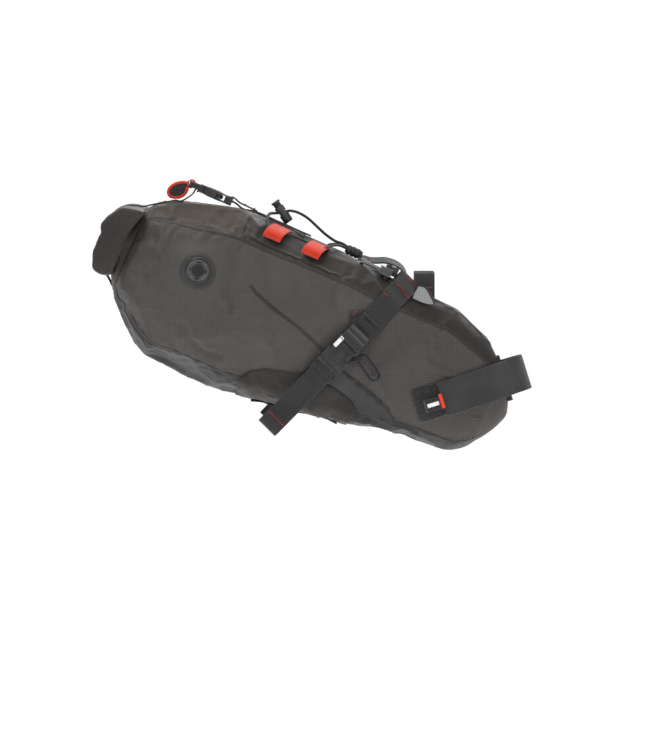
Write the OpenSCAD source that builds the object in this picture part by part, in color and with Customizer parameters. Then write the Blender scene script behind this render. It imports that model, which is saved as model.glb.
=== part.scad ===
// Roll-top saddle bag. Origin: seatpost axis at the middle of the nose strap.
// +X forward, +Y to the bicycle's left, +Z up. The bag's own axis drops towards the front.

/* [Bicycle] */
// Seatpost diameter that the nose strap closes around
post_d = 27.2; // [26.8:0.1:27.6]
// Lean of the seatpost back from vertical, degrees
post_lean = 17.3; // [16:0.1:18]
// Saddle rail diameter
rail_d = 7; // [6.8:0.1:7.2]
// Distance between the saddle rail centres
rail_gap = 44; // [42:1:46]

/* [Bag] */
// How far the bag's axis drops towards the front, degrees
bag_tilt = 24; // [23.5:0.1:24.5]
// Roundness of the bag's section: 2 is an ellipse
roundness = 2.5; // [2.4:0.1:2.6]
// Thickness of the welded fabric
fabric = 1.2; // [0.8:0.1:1.4]

/* [Straps] */
// Width of the webbing
web_w = 25; // [20:1:26]
// Thickness of the webbing
web_t = 1.6; // [1.2:0.1:1.8]
// Width of the nose strap
nose_strap_w = 38; // [30:1:40]

/* [Closure] */
// Width of the rolled mouth
roll_w = 176; // [150:2:190]

/* [Hidden] */

$fn = 48;
eps = 0.01;

// The bag's side view, along its own axis u: height of the top and bottom edges, and half width.
TOP = [[-434, 6], [-426, 14], [-412, 23], [-387, 32], [-350, 43], [-333, 46], [-200, 46],
    [-171, 42], [-85, 40], [-58, 30], [-38, 23], [-23, 13], [-12, 4], [0, -12], [6, -25], [10, -39]];
BOTTOM = [[-434, -92], [-427, -101], [-410, -117], [-390, -132], [-375, -140], [-292, -141],
    [-264, -137], [-196, -130], [-129, -119], [-86, -109], [-35, -104], [-28, -101], [-16, -91],
    [-3, -74], [6, -60], [10, -47]];
HALF = [[-434, 66], [-410, 76], [-370, 82], [-320, 82], [-260, 77], [-200, 68], [-150, 58],
    [-100, 46], [-60, 38], [-30, 31], [-10, 25], [4, 17], [10, 7]];
STATIONS = [-434, -426, -412, -398, -384, -365, -345, -330, -305, -280, -255, -230, -205, -180,
    -155, -130, -107, -85, -70];
NOSE_STATIONS = [-70, -58, -47, -38, -30, -23, -16, -10, -5, 0, 4, 7, 10];
YOKE_U = -330;
SEAM_UP = 50;
SEAM_LOW = 142;

// ---- Section of the bag ----
function spow(v, p) = sign(v) * pow(abs(v), p);
function section(u, th, off) =
    let (t = lookup(u, TOP), b = lookup(u, BOTTOM))
    [u, -(lookup(u, HALF) + off) * spow(sin(th), 2 / roundness),
        (t + b) / 2 + ((t - b) / 2 + off) * spow(cos(th), 2 / roundness)];
function half_at(u, w) =
    let (t = lookup(u, TOP), b = lookup(u, BOTTOM), r = abs((w - (t + b) / 2) / ((t - b) / 2)))
    r >= 1 ? 0 : lookup(u, HALF) * pow(1 - pow(r, roundness), 1 / roundness);
function angle_at(u, w) =
    let (t = lookup(u, TOP), b = lookup(u, BOTTOM))
    acos(max(-1, min(1, spow((w - (t + b) / 2) / ((t - b) / 2), roundness / 2))));
function bag_u(x, z) = x * cos(bag_tilt) - z * sin(bag_tilt);
function bag_w(x, z) = x * sin(bag_tilt) + z * cos(bag_tilt);

module bag_frame() rotate([0, bag_tilt, 0]) children();

// A curved slab of the bag's skin: stations us, from angle a(u) to b(u), between two offsets.
module skin(us, a, b, steps, inner, outer) {
    nu = len(us);
    nv = steps + 1;
    layer = nu * nv;
    pts = [for (off = [inner, outer]) for (u = us) for (k = [0:steps])
        section(u, a(u) + (b(u) - a(u)) * k / steps, off)];
    function at(l, i, k) = l * layer + i * nv + k;
    function quad(p, q, r, s) = [[p, r, q], [p, s, r]];
    quads = concat(
        [for (i = [0:nu - 2]) for (k = [0:steps - 1])
            quad(at(1, i, k), at(1, i, k + 1), at(1, i + 1, k + 1), at(1, i + 1, k))],
        [for (i = [0:nu - 2]) for (k = [0:steps - 1])
            quad(at(0, i + 1, k), at(0, i + 1, k + 1), at(0, i, k + 1), at(0, i, k))],
        [for (i = [0:nu - 2]) quad(at(0, i, 0), at(1, i, 0), at(1, i + 1, 0), at(0, i + 1, 0))],
        [for (i = [0:nu - 2]) quad(at(1, i, steps), at(0, i, steps), at(0, i + 1, steps),
            at(1, i + 1, steps))],
        [for (k = [0:steps - 1]) quad(at(0, 0, k), at(0, 0, k + 1), at(1, 0, k + 1), at(1, 0, k))],
        [for (k = [0:steps - 1]) quad(at(1, nu - 1, k), at(1, nu - 1, k + 1),
            at(0, nu - 1, k + 1), at(0, nu - 1, k))]);
    bag_frame() polyhedron(pts, [for (q = quads) for (f = q) f]);
}

// The whole bag section as one closed solid over some stations.
module plug(us, off, steps = 28) {
    nu = len(us);
    pts = [for (u = us) for (k = [0:steps - 1]) section(u, k * 360 / steps, off)];
    function at(i, k) = i * steps + k % steps;
    bag_frame() polyhedron(pts, concat(
        [for (i = [0:nu - 2]) for (k = [0:steps - 1]) each
            [[at(i, k), at(i + 1, k + 1), at(i, k + 1)], [at(i, k), at(i + 1, k), at(i + 1, k + 1)]]],
        [[for (k = [0:steps - 1]) at(0, k)]],
        [[for (k = [steps - 1:-1:0]) at(nu - 1, k)]]));
}

// A strap seen edge on: a path in the plane, given a thickness and extruded to a width.
function unit(v) = v / norm(v);
function left_of(path, i) =
    let (a = path[max(i - 1, 0)], b = path[min(i + 1, len(path) - 1)], d = unit(b - a)) [-d.y, d.x];
module ribbon(path, t, width) {
    n = len(path);
    linear_extrude(width, center = true) polygon(concat(
        [for (i = [0:n - 1]) path[i] + left_of(path, i) * t / 2],
        [for (i = [n - 1:-1:0]) path[i] - left_of(path, i) * t / 2]));
}

// A round cord swept along hand-placed points.
module cord(points, d, sides = 8) {
    n = len(points);
    function tangent(i) = unit(points[min(i + 1, n - 1)] - points[max(i - 1, 0)]);
    rings = [for (i = [0:n - 1])
        let (t = tangent(i), side = unit(cross(t, [0.02, 0.1, 1])), up = cross(side, t))
        each [for (k = [0:sides - 1])
            points[i] + d / 2 * (side * cos(k * 360 / sides) + up * sin(k * 360 / sides))]];
    function at(i, k) = i * sides + k % sides;
    polyhedron(rings, concat(
        [for (i = [0:n - 2]) for (k = [0:sides - 1]) each
            [[at(i, k), at(i + 1, k + 1), at(i + 1, k)], [at(i, k), at(i, k + 1), at(i + 1, k + 1)]]],
        [[for (k = [sides - 1:-1:0]) at(0, k)]],
        [[for (k = [0:sides - 1]) at(n - 1, k)]]));
}

module both_sides() {
    children();
    mirror([0, 1, 0]) children();
}

// ---- Fabric body ----
module side_panel(a, b) {
    skin(STATIONS, function(u) a, function(u) b, 10, -fabric, 0);
}
module side_panel_right() color([0.30, 0.29, 0.29]) difference() {
    side_panel(SEAM_UP, SEAM_LOW);
    valve_frame() translate([0, 0, -20]) cylinder(r = 8.3, h = 40);
}
module side_panel_left() color([0.30, 0.29, 0.29]) side_panel(360 - SEAM_LOW, 360 - SEAM_UP);
module rear_top_panel() color([0.33, 0.30, 0.27])
    skin([for (u = STATIONS) if (u <= YOKE_U) u], function(u) -SEAM_UP, function(u) SEAM_UP,
        10, -fabric, 0);
module top_yoke() color([0.26, 0.25, 0.24])
    skin([for (u = STATIONS) if (u >= YOKE_U) u], function(u) -SEAM_UP, function(u) SEAM_UP,
        10, -fabric, 0);
module bottom_panel() color([0.20, 0.19, 0.19])
    skin(STATIONS, function(u) SEAM_LOW, function(u) 360 - SEAM_LOW, 8, -fabric, 0);
module post_cylinder(r, h = 200) rotate([0, -post_lean, 0]) cylinder(r = r, h = h, center = true);
module nose_panel() color([0.25, 0.24, 0.24]) difference() {
    plug(NOSE_STATIONS, 0);
    plug([for (u = NOSE_STATIONS) if (u < 10) u == -70 ? u - 1 : u], -fabric);
    post_cylinder(post_d / 2 + 1.8);
}
module nose_stiffener() color([0.12, 0.12, 0.12]) difference() {
    plug([for (u = NOSE_STATIONS) if (u > -45 && u < 7) u], -fabric - 0.1);
    post_cylinder(post_d / 2 + 1.9);
}
module post_pad() color([0.10, 0.10, 0.10]) rotate([0, -post_lean, 0]) difference() {
    cylinder(r = post_d / 2 + 1.7, h = 50, center = true);
    cylinder(r = post_d / 2 + 0.3, h = 52, center = true);
    translate([-8.5, -50, -30]) cube([100, 100, 60]);
}
module bottom_stiffener() color([0.08, 0.08, 0.08])
    skin([for (u = STATIONS) if (u > -390 && u < -80) u], function(u) 152, function(u) 208,
        6, -fabric - 2, -fabric - 0.2);
module spine_stiffener() color([0.08, 0.08, 0.08])
    skin([for (u = STATIONS) if (u > -320 && u < -80) u], function(u) -16, function(u) 16,
        4, -fabric - 2.4, -fabric - 0.8);
module seam_tapes() color([0.16, 0.16, 0.16]) both_sides() {
    skin(STATIONS, function(u) SEAM_UP - 1, function(u) SEAM_UP + 2, 1, 0.6, 1.4);
    // The lower seam is covered by the belly patch in the middle.
    for (us = [[for (u = STATIONS) if (u < -275) u], [for (u = STATIONS) if (u > -135) u]])
        skin(us, function(u) SEAM_LOW - 2, function(u) SEAM_LOW + 1, 1, 0.6, 1.4);
}

// ---- Roll-top mouth ----
ROLL_U = -456;
ROLL_W = -38;
ROLL_H = 80;
ROLL_T = 28;
// A flattened spiral: radius shrinks by one layer a turn, stretched along the roll's height.
function spiral(a, inset) =
    let (r = ROLL_T / 2 - inset * a / 360, flat = (ROLL_H - ROLL_T) / 2)
    [r * cos(a), r * sin(a) + (sin(a) >= 0 ? 1 : -1) * flat];
module mouth_collar() color([0.24, 0.23, 0.22]) bag_frame() difference() {
    hull() {
        translate([-434.4, 0, -43]) rotate([0, -90, 0]) collar_outline(92, 126, eps);
        translate([-441, 0, ROLL_W]) cube([eps, roll_w - 30, 10], center = true);
    }
    hull() {
        translate([-434.3, 0, -43]) rotate([0, -90, 0]) collar_outline(88, 122, eps);
        translate([-441.2, 0, ROLL_W]) cube([eps, roll_w - 34, 7], center = true);
    }
}
module collar_outline(height, width, depth)
    linear_extrude(depth) hull() for (y = [-1, 1]) for (z = [-1, 1])
        translate([z * (height / 2 - 30), y * (width / 2 - 30)]) circle(30, $fn = 24);
module roll_closure() color([0.28, 0.26, 0.24])
    bag_frame() translate([ROLL_U, 0, ROLL_W]) rotate([90, 0, 0])
        ribbon([for (a = [0:15:900]) spiral(a, 3.2)], 2.2, roll_w);
module closure_stiffener() color([0.06, 0.06, 0.06])
    bag_frame() translate([ROLL_U, 0, ROLL_W]) cube([1.6, roll_w - 8, 26], center = true);

// ---- Air valve on the right side ----
VALVE_U = -358;
VALVE_W = -32;
valve_face = half_at(VALVE_U, VALVE_W) + 0.6;
// Local frame of the valve: +Z points out of the bag's right side.
module valve_frame()
    bag_frame() translate([VALVE_U, -valve_face, VALVE_W]) rotate([90, 0, 0]) children();
module valve_patch() color([0.24, 0.23, 0.23]) valve_frame() translate([0, 0, 0.3]) difference() {
    cylinder(r = 20, h = 0.9);
    translate([0, 0, -1]) cylinder(r = 13.4, h = 4);
}
module valve_flange() color([0.09, 0.09, 0.09]) valve_frame() difference() {
    union() {
        translate([0, 0, 0.3]) cylinder(r = 13.2, h = 1.6);
        translate([0, 0, -7]) cylinder(r = 8, h = 8);
    }
    translate([0, 0, -8]) cylinder(r = 6, h = 12);
}
module valve_cap() color([0.11, 0.11, 0.11]) valve_frame() difference() {
    union() {
        translate([0, 0, 2.2]) cylinder(r = 11.6, h = 2.6);
        translate([0, 0, -5]) cylinder(r = 5.94, h = 8);
    }
    translate([0, 0, -6]) cylinder(r = 4.4, h = 9.2);
    translate([0, 0, 3.6]) cylinder(r = 6.4, h = 3);
    for (a = [16:90:286]) rotate([0, 0, a]) translate([8.6, 0, 3]) cube([1.8, 4.4, 5], center = true);
}
module valve_nut() color([0.10, 0.10, 0.10]) valve_frame() difference() {
    translate([0, 0, -7]) cylinder(r = 12, h = 3, $fn = 6);
    translate([0, 0, -8]) cylinder(r = 8.1, h = 5);
}
module valve_diaphragm() color([0.35, 0.35, 0.36]) valve_frame()
    translate([0, 0, -8.4]) cylinder(r = 7.4, h = 1);

// ---- Belly scuff patch ----
// Height of the patch's upper edge along the bag's axis.
PATCH_EDGE = [[-272, -124], [-262, -108], [-240, -98], [-213, -90], [-184, -88], [-162, -92],
    [-148, -97], [-140, -105], [-136, -113]];
PATCH_U = [-272, -267, -262, -252, -240, -226, -213, -198, -184, -172, -162, -154, -148, -140, -136];
module belly_patch() color([0.23, 0.21, 0.19])
    skin(PATCH_U, function(u) angle_at(u, lookup(u, PATCH_EDGE)),
        function(u) 360 - angle_at(u, lookup(u, PATCH_EDGE)), 16, 0.9, 2.2);
module belly_webbing() color([0.08, 0.08, 0.08])
    skin([-248, -236, -224, -212, -200, -188, -176, -164, -152, -144], function(u) 172,
        function(u) 188, 4, 2.5, 4.1);

// ---- Webbing and cord on top ----
LOOP_US = [-300, -255];
module daisy_webbing() color([0.07, 0.07, 0.07]) both_sides()
    skin([-322, -305, -280, -255, -230, -218], function(u) 43.5, function(u) 48, 2, 0.7, 2);
// Raised webbing loop that the shock cord passes under.
module cord_loops() for (u = LOOP_US)
    bag_frame() translate([u, -lookup(u, HALF) * 0.5, lookup(u, TOP) - 7.6]) rotate([24, 0, 0])
        rotate([90, 0, 90]) ribbon([for (a = [-6:12:186]) [15.5 * cos(a), 8 * sin(a)]], 1.5, 20);
module cord_loops_right() color([0.90, 0.27, 0.14]) cord_loops();
module cord_loops_left() color([0.90, 0.27, 0.14]) mirror([0, 1, 0]) cord_loops();

// Routes in the bag's own frame: along the bag, across it, and up from it.
CORD_D = 3;
LACE_REAR = [[-307, -47, 38.6], [-311, -38, 43.6], [-313, -28, 48], [-313, -18, 51.5],
    [-311, -9, 53.6], [-306, -2, 56]];
LACE_FRONT = [[-246, -44, 40], [-242, -38, 44.5], [-238, -29, 48.5], [-232, -18, 51.5],
    [-227, -8, 52.2], [-223, -2.6, 52]];
TAIL_NEAR = [[-295, -2, 63.6], [-290, -2, 65.4], [-282, -2.2, 66], [-272, -3, 64.5],
    [-260, -3.4, 60.5], [-248, -3.2, 56.5], [-236, -3, 54.2], [-228, -2.8, 54.8], [-223, -2.4, 54.8]];
module shock_cord_lacing() color([0.05, 0.05, 0.05]) bag_frame() both_sides() {
    cord(LACE_REAR, CORD_D);
    cord(LACE_FRONT, CORD_D);
}
module shock_cord_tail() color([0.05, 0.05, 0.05]) bag_frame() both_sides()
    cord(TAIL_NEAR, CORD_D);

// Cord lock: a barrel that leans back, with a sprung plunger in its upper end.
LOCK_LEAN = -59;
module lock_frame() bag_frame() translate([-300, 0, 59]) rotate([0, LOCK_LEAN, 0]) children();
// Crosswise hole that both cords pass through, side by side.
module cord_hole(z, length) translate([0, 0, z]) cube([20, 7.2, length], center = true);
module cord_lock_body() color([0.07, 0.07, 0.07]) lock_frame() difference() {
    union() {
        translate([0, 0, -12]) cylinder(r1 = 4.6, r2 = 5.4, h = 3);
        translate([0, 0, -9]) cylinder(r = 5.4, h = 17);
    }
    translate([0, 0, -8]) cylinder(r = 4.2, h = 20);
    cord_hole(0, 3.6);
}
module cord_lock_plunger() color([0.12, 0.12, 0.12]) lock_frame() difference() {
    union() {
        translate([0, 0, -3]) cylinder(r = 4.12, h = 16);
        translate([0, 0, 12.6]) cylinder(r = 5.2, h = 2.4);
    }
    cord_hole(2, 7.6);
}
module cord_lock_spring() color([0.75, 0.75, 0.77]) lock_frame()
    translate([0, 0, -8]) difference() {
        cylinder(r = 3, h = 0.9);
        translate([0, 0, -1]) cylinder(r = 2.2, h = 8);
    }
// Ribbed barrel that grips the front end of the cord.
module cord_end() color([0.06, 0.06, 0.06]) bag_frame() translate([-212, 0, 51.5])
    rotate([0, 90, 0]) rotate_extrude() polygon([[0, -10], [3.6, -10], [4.4, -8], [5.2, -8],
        [5.2, -5], [4.6, -4], [5.4, -3], [5.4, 0], [4.8, 1], [5.4, 2], [5.4, 5], [4.6, 6],
        [4, 9], [0, 9]]);

// ---- Side-release buckle: +X towards the plug's strap, thickness along Y, width along Z ----
BUCKLE_T = 9;
module buckle_female(width) difference() {
    translate([-20, -BUCKLE_T / 2, -width / 2]) cube([33, BUCKLE_T, width]);
    translate([-11, -BUCKLE_T / 2 + 1.6, -width / 2 + 2.4]) cube([40, BUCKLE_T - 3.2, width - 4.8]);
    translate([-18, -BUCKLE_T, -width / 2 + 3]) cube([4, 2 * BUCKLE_T, width - 6]);
    for (z = [-1, 1]) translate([-6, 0, z * width / 2]) cube([9, 5, 6], center = true);
}
module buckle_male(width) {
    // Bridge between the plug and the ladder.
    translate([13.4, -BUCKLE_T / 2, -width / 2]) cube([4.6, BUCKLE_T, width]);
    // Two sprung arms and the guide between them.
    for (z = [-1, 1]) {
        translate([-3, -2.4, z * (width / 2 - 5.4) - 1.4]) cube([17, 4.8, 2.8]);
        translate([-6, -2.4, z * (width / 2 - 5.2) - 2]) cube([5, 4.8, 4]);
    }
    translate([-9, -2, -2]) cube([23, 4, 4]);
    // Ladder: side rails with two bars.
    for (z = [-1, 1]) translate([17, -3, z * (width / 2 - 1.5) - 1.5]) cube([13, 6, 3]);
    translate([20, -3, -width / 2]) cube([2.6, 3.4, width]);
    translate([27.4, -3, -width / 2]) cube([2.6, 6, width]);
}

// ---- Side straps, along a line that drops 45 degrees towards the rear ----
SIDE_X = -190;
SIDE_Z = 25;
SIDE_TURN = 134.5;
BUCKLE_W = 29;
// Distance of the bag's side from the middle plane under the strap, at s along the strap.
function strap_x(s, t) = SIDE_X + s * cos(SIDE_TURN) + t * sin(SIDE_TURN);
function strap_z(s, t) = SIDE_Z - s * sin(SIDE_TURN) + t * cos(SIDE_TURN);
function bag_half(x, z) = half_at(bag_u(x, z), bag_w(x, z));
function under_strap(s) = max([for (t = [-1:0.5:1]) bag_half(strap_x(s, t * web_w / 2),
    strap_z(s, t * web_w / 2))]);
module strap_frame() translate([SIDE_X, 0, SIDE_Z]) rotate([0, SIDE_TURN, 0]) children();
buckle_y = under_strap(0) + 1.4 + 2.4 + BUCKLE_T / 2;
// The upper strap leaves the rail and lies down on the bag's shoulder.
UPPER_FREE = [[-106, -28.5], [-98, -36], [-92, -42]];
module side_strap_upper() strap_frame() ribbon(concat(UPPER_FREE,
    [for (s = [-84:8:-28]) [s, -under_strap(s) - 2.6 - max(0, (s + 60) / 32) * 2.1],
     [-20.6, -buckle_y]]), web_t, web_w);
module side_strap_lower() strap_frame()
    ribbon([for (s = [20:7:76]) [s, -under_strap(s) - 2.6 - min(1.7, max(0, (s - 27) * 0.24))]],
        web_t, web_w - 1);
module side_strap_tail() strap_frame()
    ribbon([[31, -buckle_y], [46, -buckle_y - 1], [76, -buckle_y + 1], [109, -buckle_y + 4]],
        web_t, web_w);
module side_buckle_female() strap_frame() translate([0, -buckle_y, 0]) buckle_female(BUCKLE_W);
module side_buckle_male() strap_frame() translate([0, -buckle_y, 0]) buckle_male(BUCKLE_W);
module left() mirror([0, 1, 0]) children();
module side_strap_upper_right() color([0.07, 0.07, 0.07]) side_strap_upper();
module side_strap_upper_left() color([0.07, 0.07, 0.07]) left() side_strap_upper();
module side_strap_lower_right() color([0.07, 0.07, 0.07]) side_strap_lower();
module side_strap_lower_left() color([0.07, 0.07, 0.07]) left() side_strap_lower();
module side_strap_tail_right() color([0.09, 0.09, 0.09]) side_strap_tail();
module side_strap_tail_left() color([0.09, 0.09, 0.09]) left() side_strap_tail();
module side_buckle_female_right() color([0.06, 0.06, 0.06]) side_buckle_female();
module side_buckle_female_left() color([0.06, 0.06, 0.06]) left() side_buckle_female();
module side_buckle_male_right() color([0.06, 0.06, 0.06]) side_buckle_male();
module side_buckle_male_left() color([0.06, 0.06, 0.06]) left() side_buckle_male();
module reflective_tabs() color([0.85, 0.86, 0.86]) both_sides() strap_frame()
    translate([-11, -buckle_y - BUCKLE_T / 2 - 0.7, -10.4]) cube([13, 1, 4.4], center = true);
// Small webbing triangle behind the upper strap.
TAB_T = -18;
module side_tabs() color([0.08, 0.08, 0.08]) both_sides() strap_frame() intersection() {
    translate([0, 0, TAB_T]) ribbon([for (s = [-60:6:-30]) [s,
        -max([for (t = [-6:6]) bag_half(strap_x(s, TAB_T + t), strap_z(s, TAB_T + t))]) - 1.6]], 1.2, 11);
    rotate([90, 0, 0]) linear_extrude(100) polygon([[-56, -12.7], [-30, -12.7], [-42, -24]]);
}

// ---- Accessory clip hanging from the right buckle's front edge ----
CLIP_X = -163.5;
CLIP_Z = 19.5;
CLIP_TURN = -35;
CLIP_R = 5.5;
CLIP_L = 20;
CLIP_WIRE = 2.6;
clip_y = under_strap(0) + 6;
module clip_frame() translate([CLIP_X, -clip_y, CLIP_Z]) rotate([0, CLIP_TURN, 0]) children();
module clip_body() color([0.10, 0.10, 0.11]) clip_frame() {
    // Lower bend, back and upper bend of the wire.
    for (z = [0, -CLIP_L]) translate([0, 0, z]) rotate([90, 0, 0])
        rotate([0, 0, z == 0 ? 0 : 180]) rotate_extrude(angle = 180) translate([CLIP_R, 0])
            circle(d = CLIP_WIRE);
    translate([CLIP_R, 0, -CLIP_L]) cylinder(d = CLIP_WIRE, h = CLIP_L);
    translate([-CLIP_R, 0, -CLIP_L]) cylinder(d = CLIP_WIRE, h = 4);
}
module clip_gate() color([0.45, 0.45, 0.47]) clip_frame()
    translate([-CLIP_R, 0, -CLIP_L + 4.3]) cylinder(d = 2.2, h = CLIP_L - 5.2);

// ---- Top load strap with its buckle ----
TOPB_U = -375;
TOPB_W = 47.5;
TOP_BUCKLE_W = 29;
module top_frame() bag_frame() translate([TOPB_U, 0, TOPB_W]) rotate([90, 0, 180]) children();
module top_buckle_female() color([0.06, 0.06, 0.06]) top_frame() buckle_female(TOP_BUCKLE_W);
module top_buckle_male() color([0.06, 0.06, 0.06]) top_frame() buckle_male(TOP_BUCKLE_W);
// Red webbing folded back on itself behind the ladder, as a handle.
module pull_loop() color([0.86, 0.12, 0.10]) top_frame() ribbon([[30.9, -1], [36, -0.6],
    [42, -1.6], [47, -4.6], [49.4, -9.6], [48, -15], [44, -17], [39, -15.4], [35, -11.6]], web_t, 20);
// Strap that comes up from the rear end, over the roll and forward to the ladder.
module closure_strap() color([0.06, 0.06, 0.06]) bag_frame() rotate([90, 0, 0])
    ribbon([[-446, -88], [-462, -84], [-476.5, -66], [-476.5, -38], [-475, -14], [-462, 5.5],
        [-450, 8], [-437, 10.5], [-426, 18], [-414, 26], [-403, 31.4], [-392, 36.4]], web_t, 20);
module top_anchor_strap() color([0.06, 0.06, 0.06]) bag_frame() rotate([90, 0, 0])
    ribbon([[-354.6, 47.6], [-346, 47.6], [-333, 47.4], [-318, 47], [-262, 47]], web_t, 20);

// ---- Saddle rail loops and the spine hardware ----
RAIL_X = -97;
RAIL_Z = 107;
module rail_loops() color([0.07, 0.07, 0.07]) both_sides()
    translate([RAIL_X, -rail_gap / 2, RAIL_Z]) rotate([0, 90, 0]) difference() {
        union() {
            cylinder(r = rail_d / 2 + 2, h = 22, center = true);
            rotate([0, 0, -24]) translate([0, -1.8, -11]) cube([12, 3.6, 22]);
        }
        cylinder(r = rail_d / 2, h = 24, center = true);
    }
module wing_gussets() color([0.55, 0.56, 0.57]) both_sides() translate([0, -31, 0]) rotate([90, 0, 0])
    linear_extrude(1, center = true) polygon([[-110, 85], [-103, 98], [-95, 95], [-86, 79], [-98, 79]]);
module spine_strap() color([0.07, 0.07, 0.07]) bag_frame() rotate([90, 0, 0])
    ribbon([[-202.6, 51], [-194, 50.6], [-186, 53], [-178, 57], [-168, 58.4], [-156, 57.6]], web_t, 20);
PIN_Y = -27;
PIN_W = 47;
module pin_frame() bag_frame() translate([-182, PIN_Y, PIN_W]) rotate([0, 90, 0]) children();
module spine_bracket() color([0.07, 0.07, 0.07]) difference() {
    bag_frame() union() {
        translate([-179, -31, 44.6]) cube([13, 62, 6.4]);
        translate([-174, -12, 44.6]) cube([14, 24, 10]);
        translate([-179, -31, 42.6]) cube([13, 9, 8]);
    }
    pin_frame() cylinder(r = 3, h = 200, center = true);
    // Two windows for the webbing.
    bag_frame() for (u = [-171, -164]) translate([u, -10.5, 40]) cube([3, 21, 30]);
}
module pin_bushing() color([0.80, 0.81, 0.82]) pin_frame() difference() {
    translate([0, 0, 3]) cylinder(r = 3, h = 10);
    cylinder(r = 2.06, h = 80, center = true);
}
module locking_pin() color([0.78, 0.79, 0.80]) pin_frame() {
    translate([0, 0, -17]) cylinder(r = 2, h = 31);
    translate([0, 0, -20]) cylinder(r = 3, h = 3.4);
}

// ---- Seatpost strap, in the post's frame: X forward, Z up the post ----
module post_frame() rotate([0, -post_lean, 0]) children();
function post_half(x) = max([for (z = [-1:0.5:1])
    bag_half(x * cos(post_lean) - z * nose_strap_w / 2 * sin(post_lean),
        x * sin(post_lean) + z * nose_strap_w / 2 * cos(post_lean))]);
strap_r = post_d / 2 + web_t / 2;
FLAP_HINGE_A = -84;
module nose_strap() color([0.13, 0.13, 0.13]) post_frame() {
    difference() {
        ribbon(concat([for (x = [-112:8:-16]) [x, post_half(x) + 1.5], [-8, 17.5]],
            [for (a = [90:-6:-76]) strap_r * [cos(a), sin(a)]]), web_t, nose_strap_w);
        cylinder(d = post_d, h = 100, center = true);
    }
    difference() {
        rotate_extrude(angle = 160, start = -74, $fn = 96) translate([post_d / 2, -nose_strap_w / 2])
            square([web_t, nose_strap_w]);
    }
}
module strap_flap() color([0.13, 0.13, 0.13]) post_frame()
    ribbon(concat([strap_r * [cos(FLAP_HINGE_A), sin(FLAP_HINGE_A)] + [0, -0.1], [-8, -20.5]],
        [for (x = [-18:-8:-82]) [x, -post_half(x) - 4.6]]), web_t, nose_strap_w);
module flap_loop_tape() color([0.05, 0.05, 0.05]) post_frame()
    ribbon([for (x = [-58:-6:-82]) [x, -post_half(x) - 3.05]], 1.2, nose_strap_w - 3);
module hook_patch() color([0.04, 0.04, 0.04]) post_frame()
    ribbon([for (x = [-56:-7:-112]) [x, -post_half(x) - 1.25]], 1.6, nose_strap_w - 1);
module pull_tab() color([0.85, 0.86, 0.86]) post_frame()
    ribbon([[-79, -post_half(-79) - 6.4], [-88, -post_half(-88) - 6.2],
        [-97, -post_half(-97) - 5]], 1.2, 13);

side_panel_right();
side_panel_left();
rear_top_panel();
top_yoke();
bottom_panel();
nose_panel();
mouth_collar();
roll_closure();
closure_stiffener();
seam_tapes();
bottom_stiffener();
spine_stiffener();
nose_stiffener();
post_pad();
valve_patch();
valve_flange();
valve_cap();
valve_nut();
valve_diaphragm();
belly_patch();
belly_webbing();
daisy_webbing();
cord_loops_right();
cord_loops_left();
shock_cord_lacing();
shock_cord_tail();
cord_lock_body();
cord_lock_plunger();
cord_lock_spring();
cord_end();
closure_strap();
top_buckle_male();
top_buckle_female();
pull_loop();
top_anchor_strap();
side_strap_upper_right();
side_strap_upper_left();
side_strap_lower_right();
side_strap_lower_left();
side_strap_tail_right();
side_strap_tail_left();
side_buckle_female_right();
side_buckle_female_left();
side_buckle_male_right();
side_buckle_male_left();
reflective_tabs();
side_tabs();
clip_body();
clip_gate();
rail_loops();
wing_gussets();
spine_strap();
spine_bracket();
pin_bushing();
locking_pin();
nose_strap();
strap_flap();
flap_loop_tape();
hook_patch();
pull_tab();
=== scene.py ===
import math
import bpy
import bmesh
import numpy as np
from mathutils import Matrix, Vector, noise
from mathutils.geometry import delaunay_2d_cdt


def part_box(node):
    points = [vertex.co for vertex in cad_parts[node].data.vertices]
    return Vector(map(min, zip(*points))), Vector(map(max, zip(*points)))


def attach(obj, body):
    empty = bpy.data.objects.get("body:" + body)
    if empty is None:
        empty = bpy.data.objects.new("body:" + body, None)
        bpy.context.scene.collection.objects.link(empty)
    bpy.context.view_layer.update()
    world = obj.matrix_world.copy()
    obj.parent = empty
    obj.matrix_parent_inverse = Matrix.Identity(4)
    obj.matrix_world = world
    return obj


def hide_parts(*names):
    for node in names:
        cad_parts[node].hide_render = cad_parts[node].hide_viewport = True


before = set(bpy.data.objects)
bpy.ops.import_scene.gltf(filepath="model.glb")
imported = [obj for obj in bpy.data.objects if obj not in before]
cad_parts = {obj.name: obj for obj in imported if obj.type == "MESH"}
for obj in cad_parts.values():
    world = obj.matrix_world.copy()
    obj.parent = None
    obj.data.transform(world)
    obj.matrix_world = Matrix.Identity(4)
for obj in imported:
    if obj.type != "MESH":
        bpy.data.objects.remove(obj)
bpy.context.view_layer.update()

MM = 0.001
TILT = math.radians(24)
POST_LEAN = math.radians(17.3)
ROUNDNESS = 2.5

# ---------------------------------------------------------------- camera, floor and light
SCALE = 1.085 * MM            # metres of the object for one unit of the 650 x 750 frame
AIM = Vector((-0.2044, 0.0, 0.0))
ELEVATION = math.radians(3.0)
DISTANCE = 6.0


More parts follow.
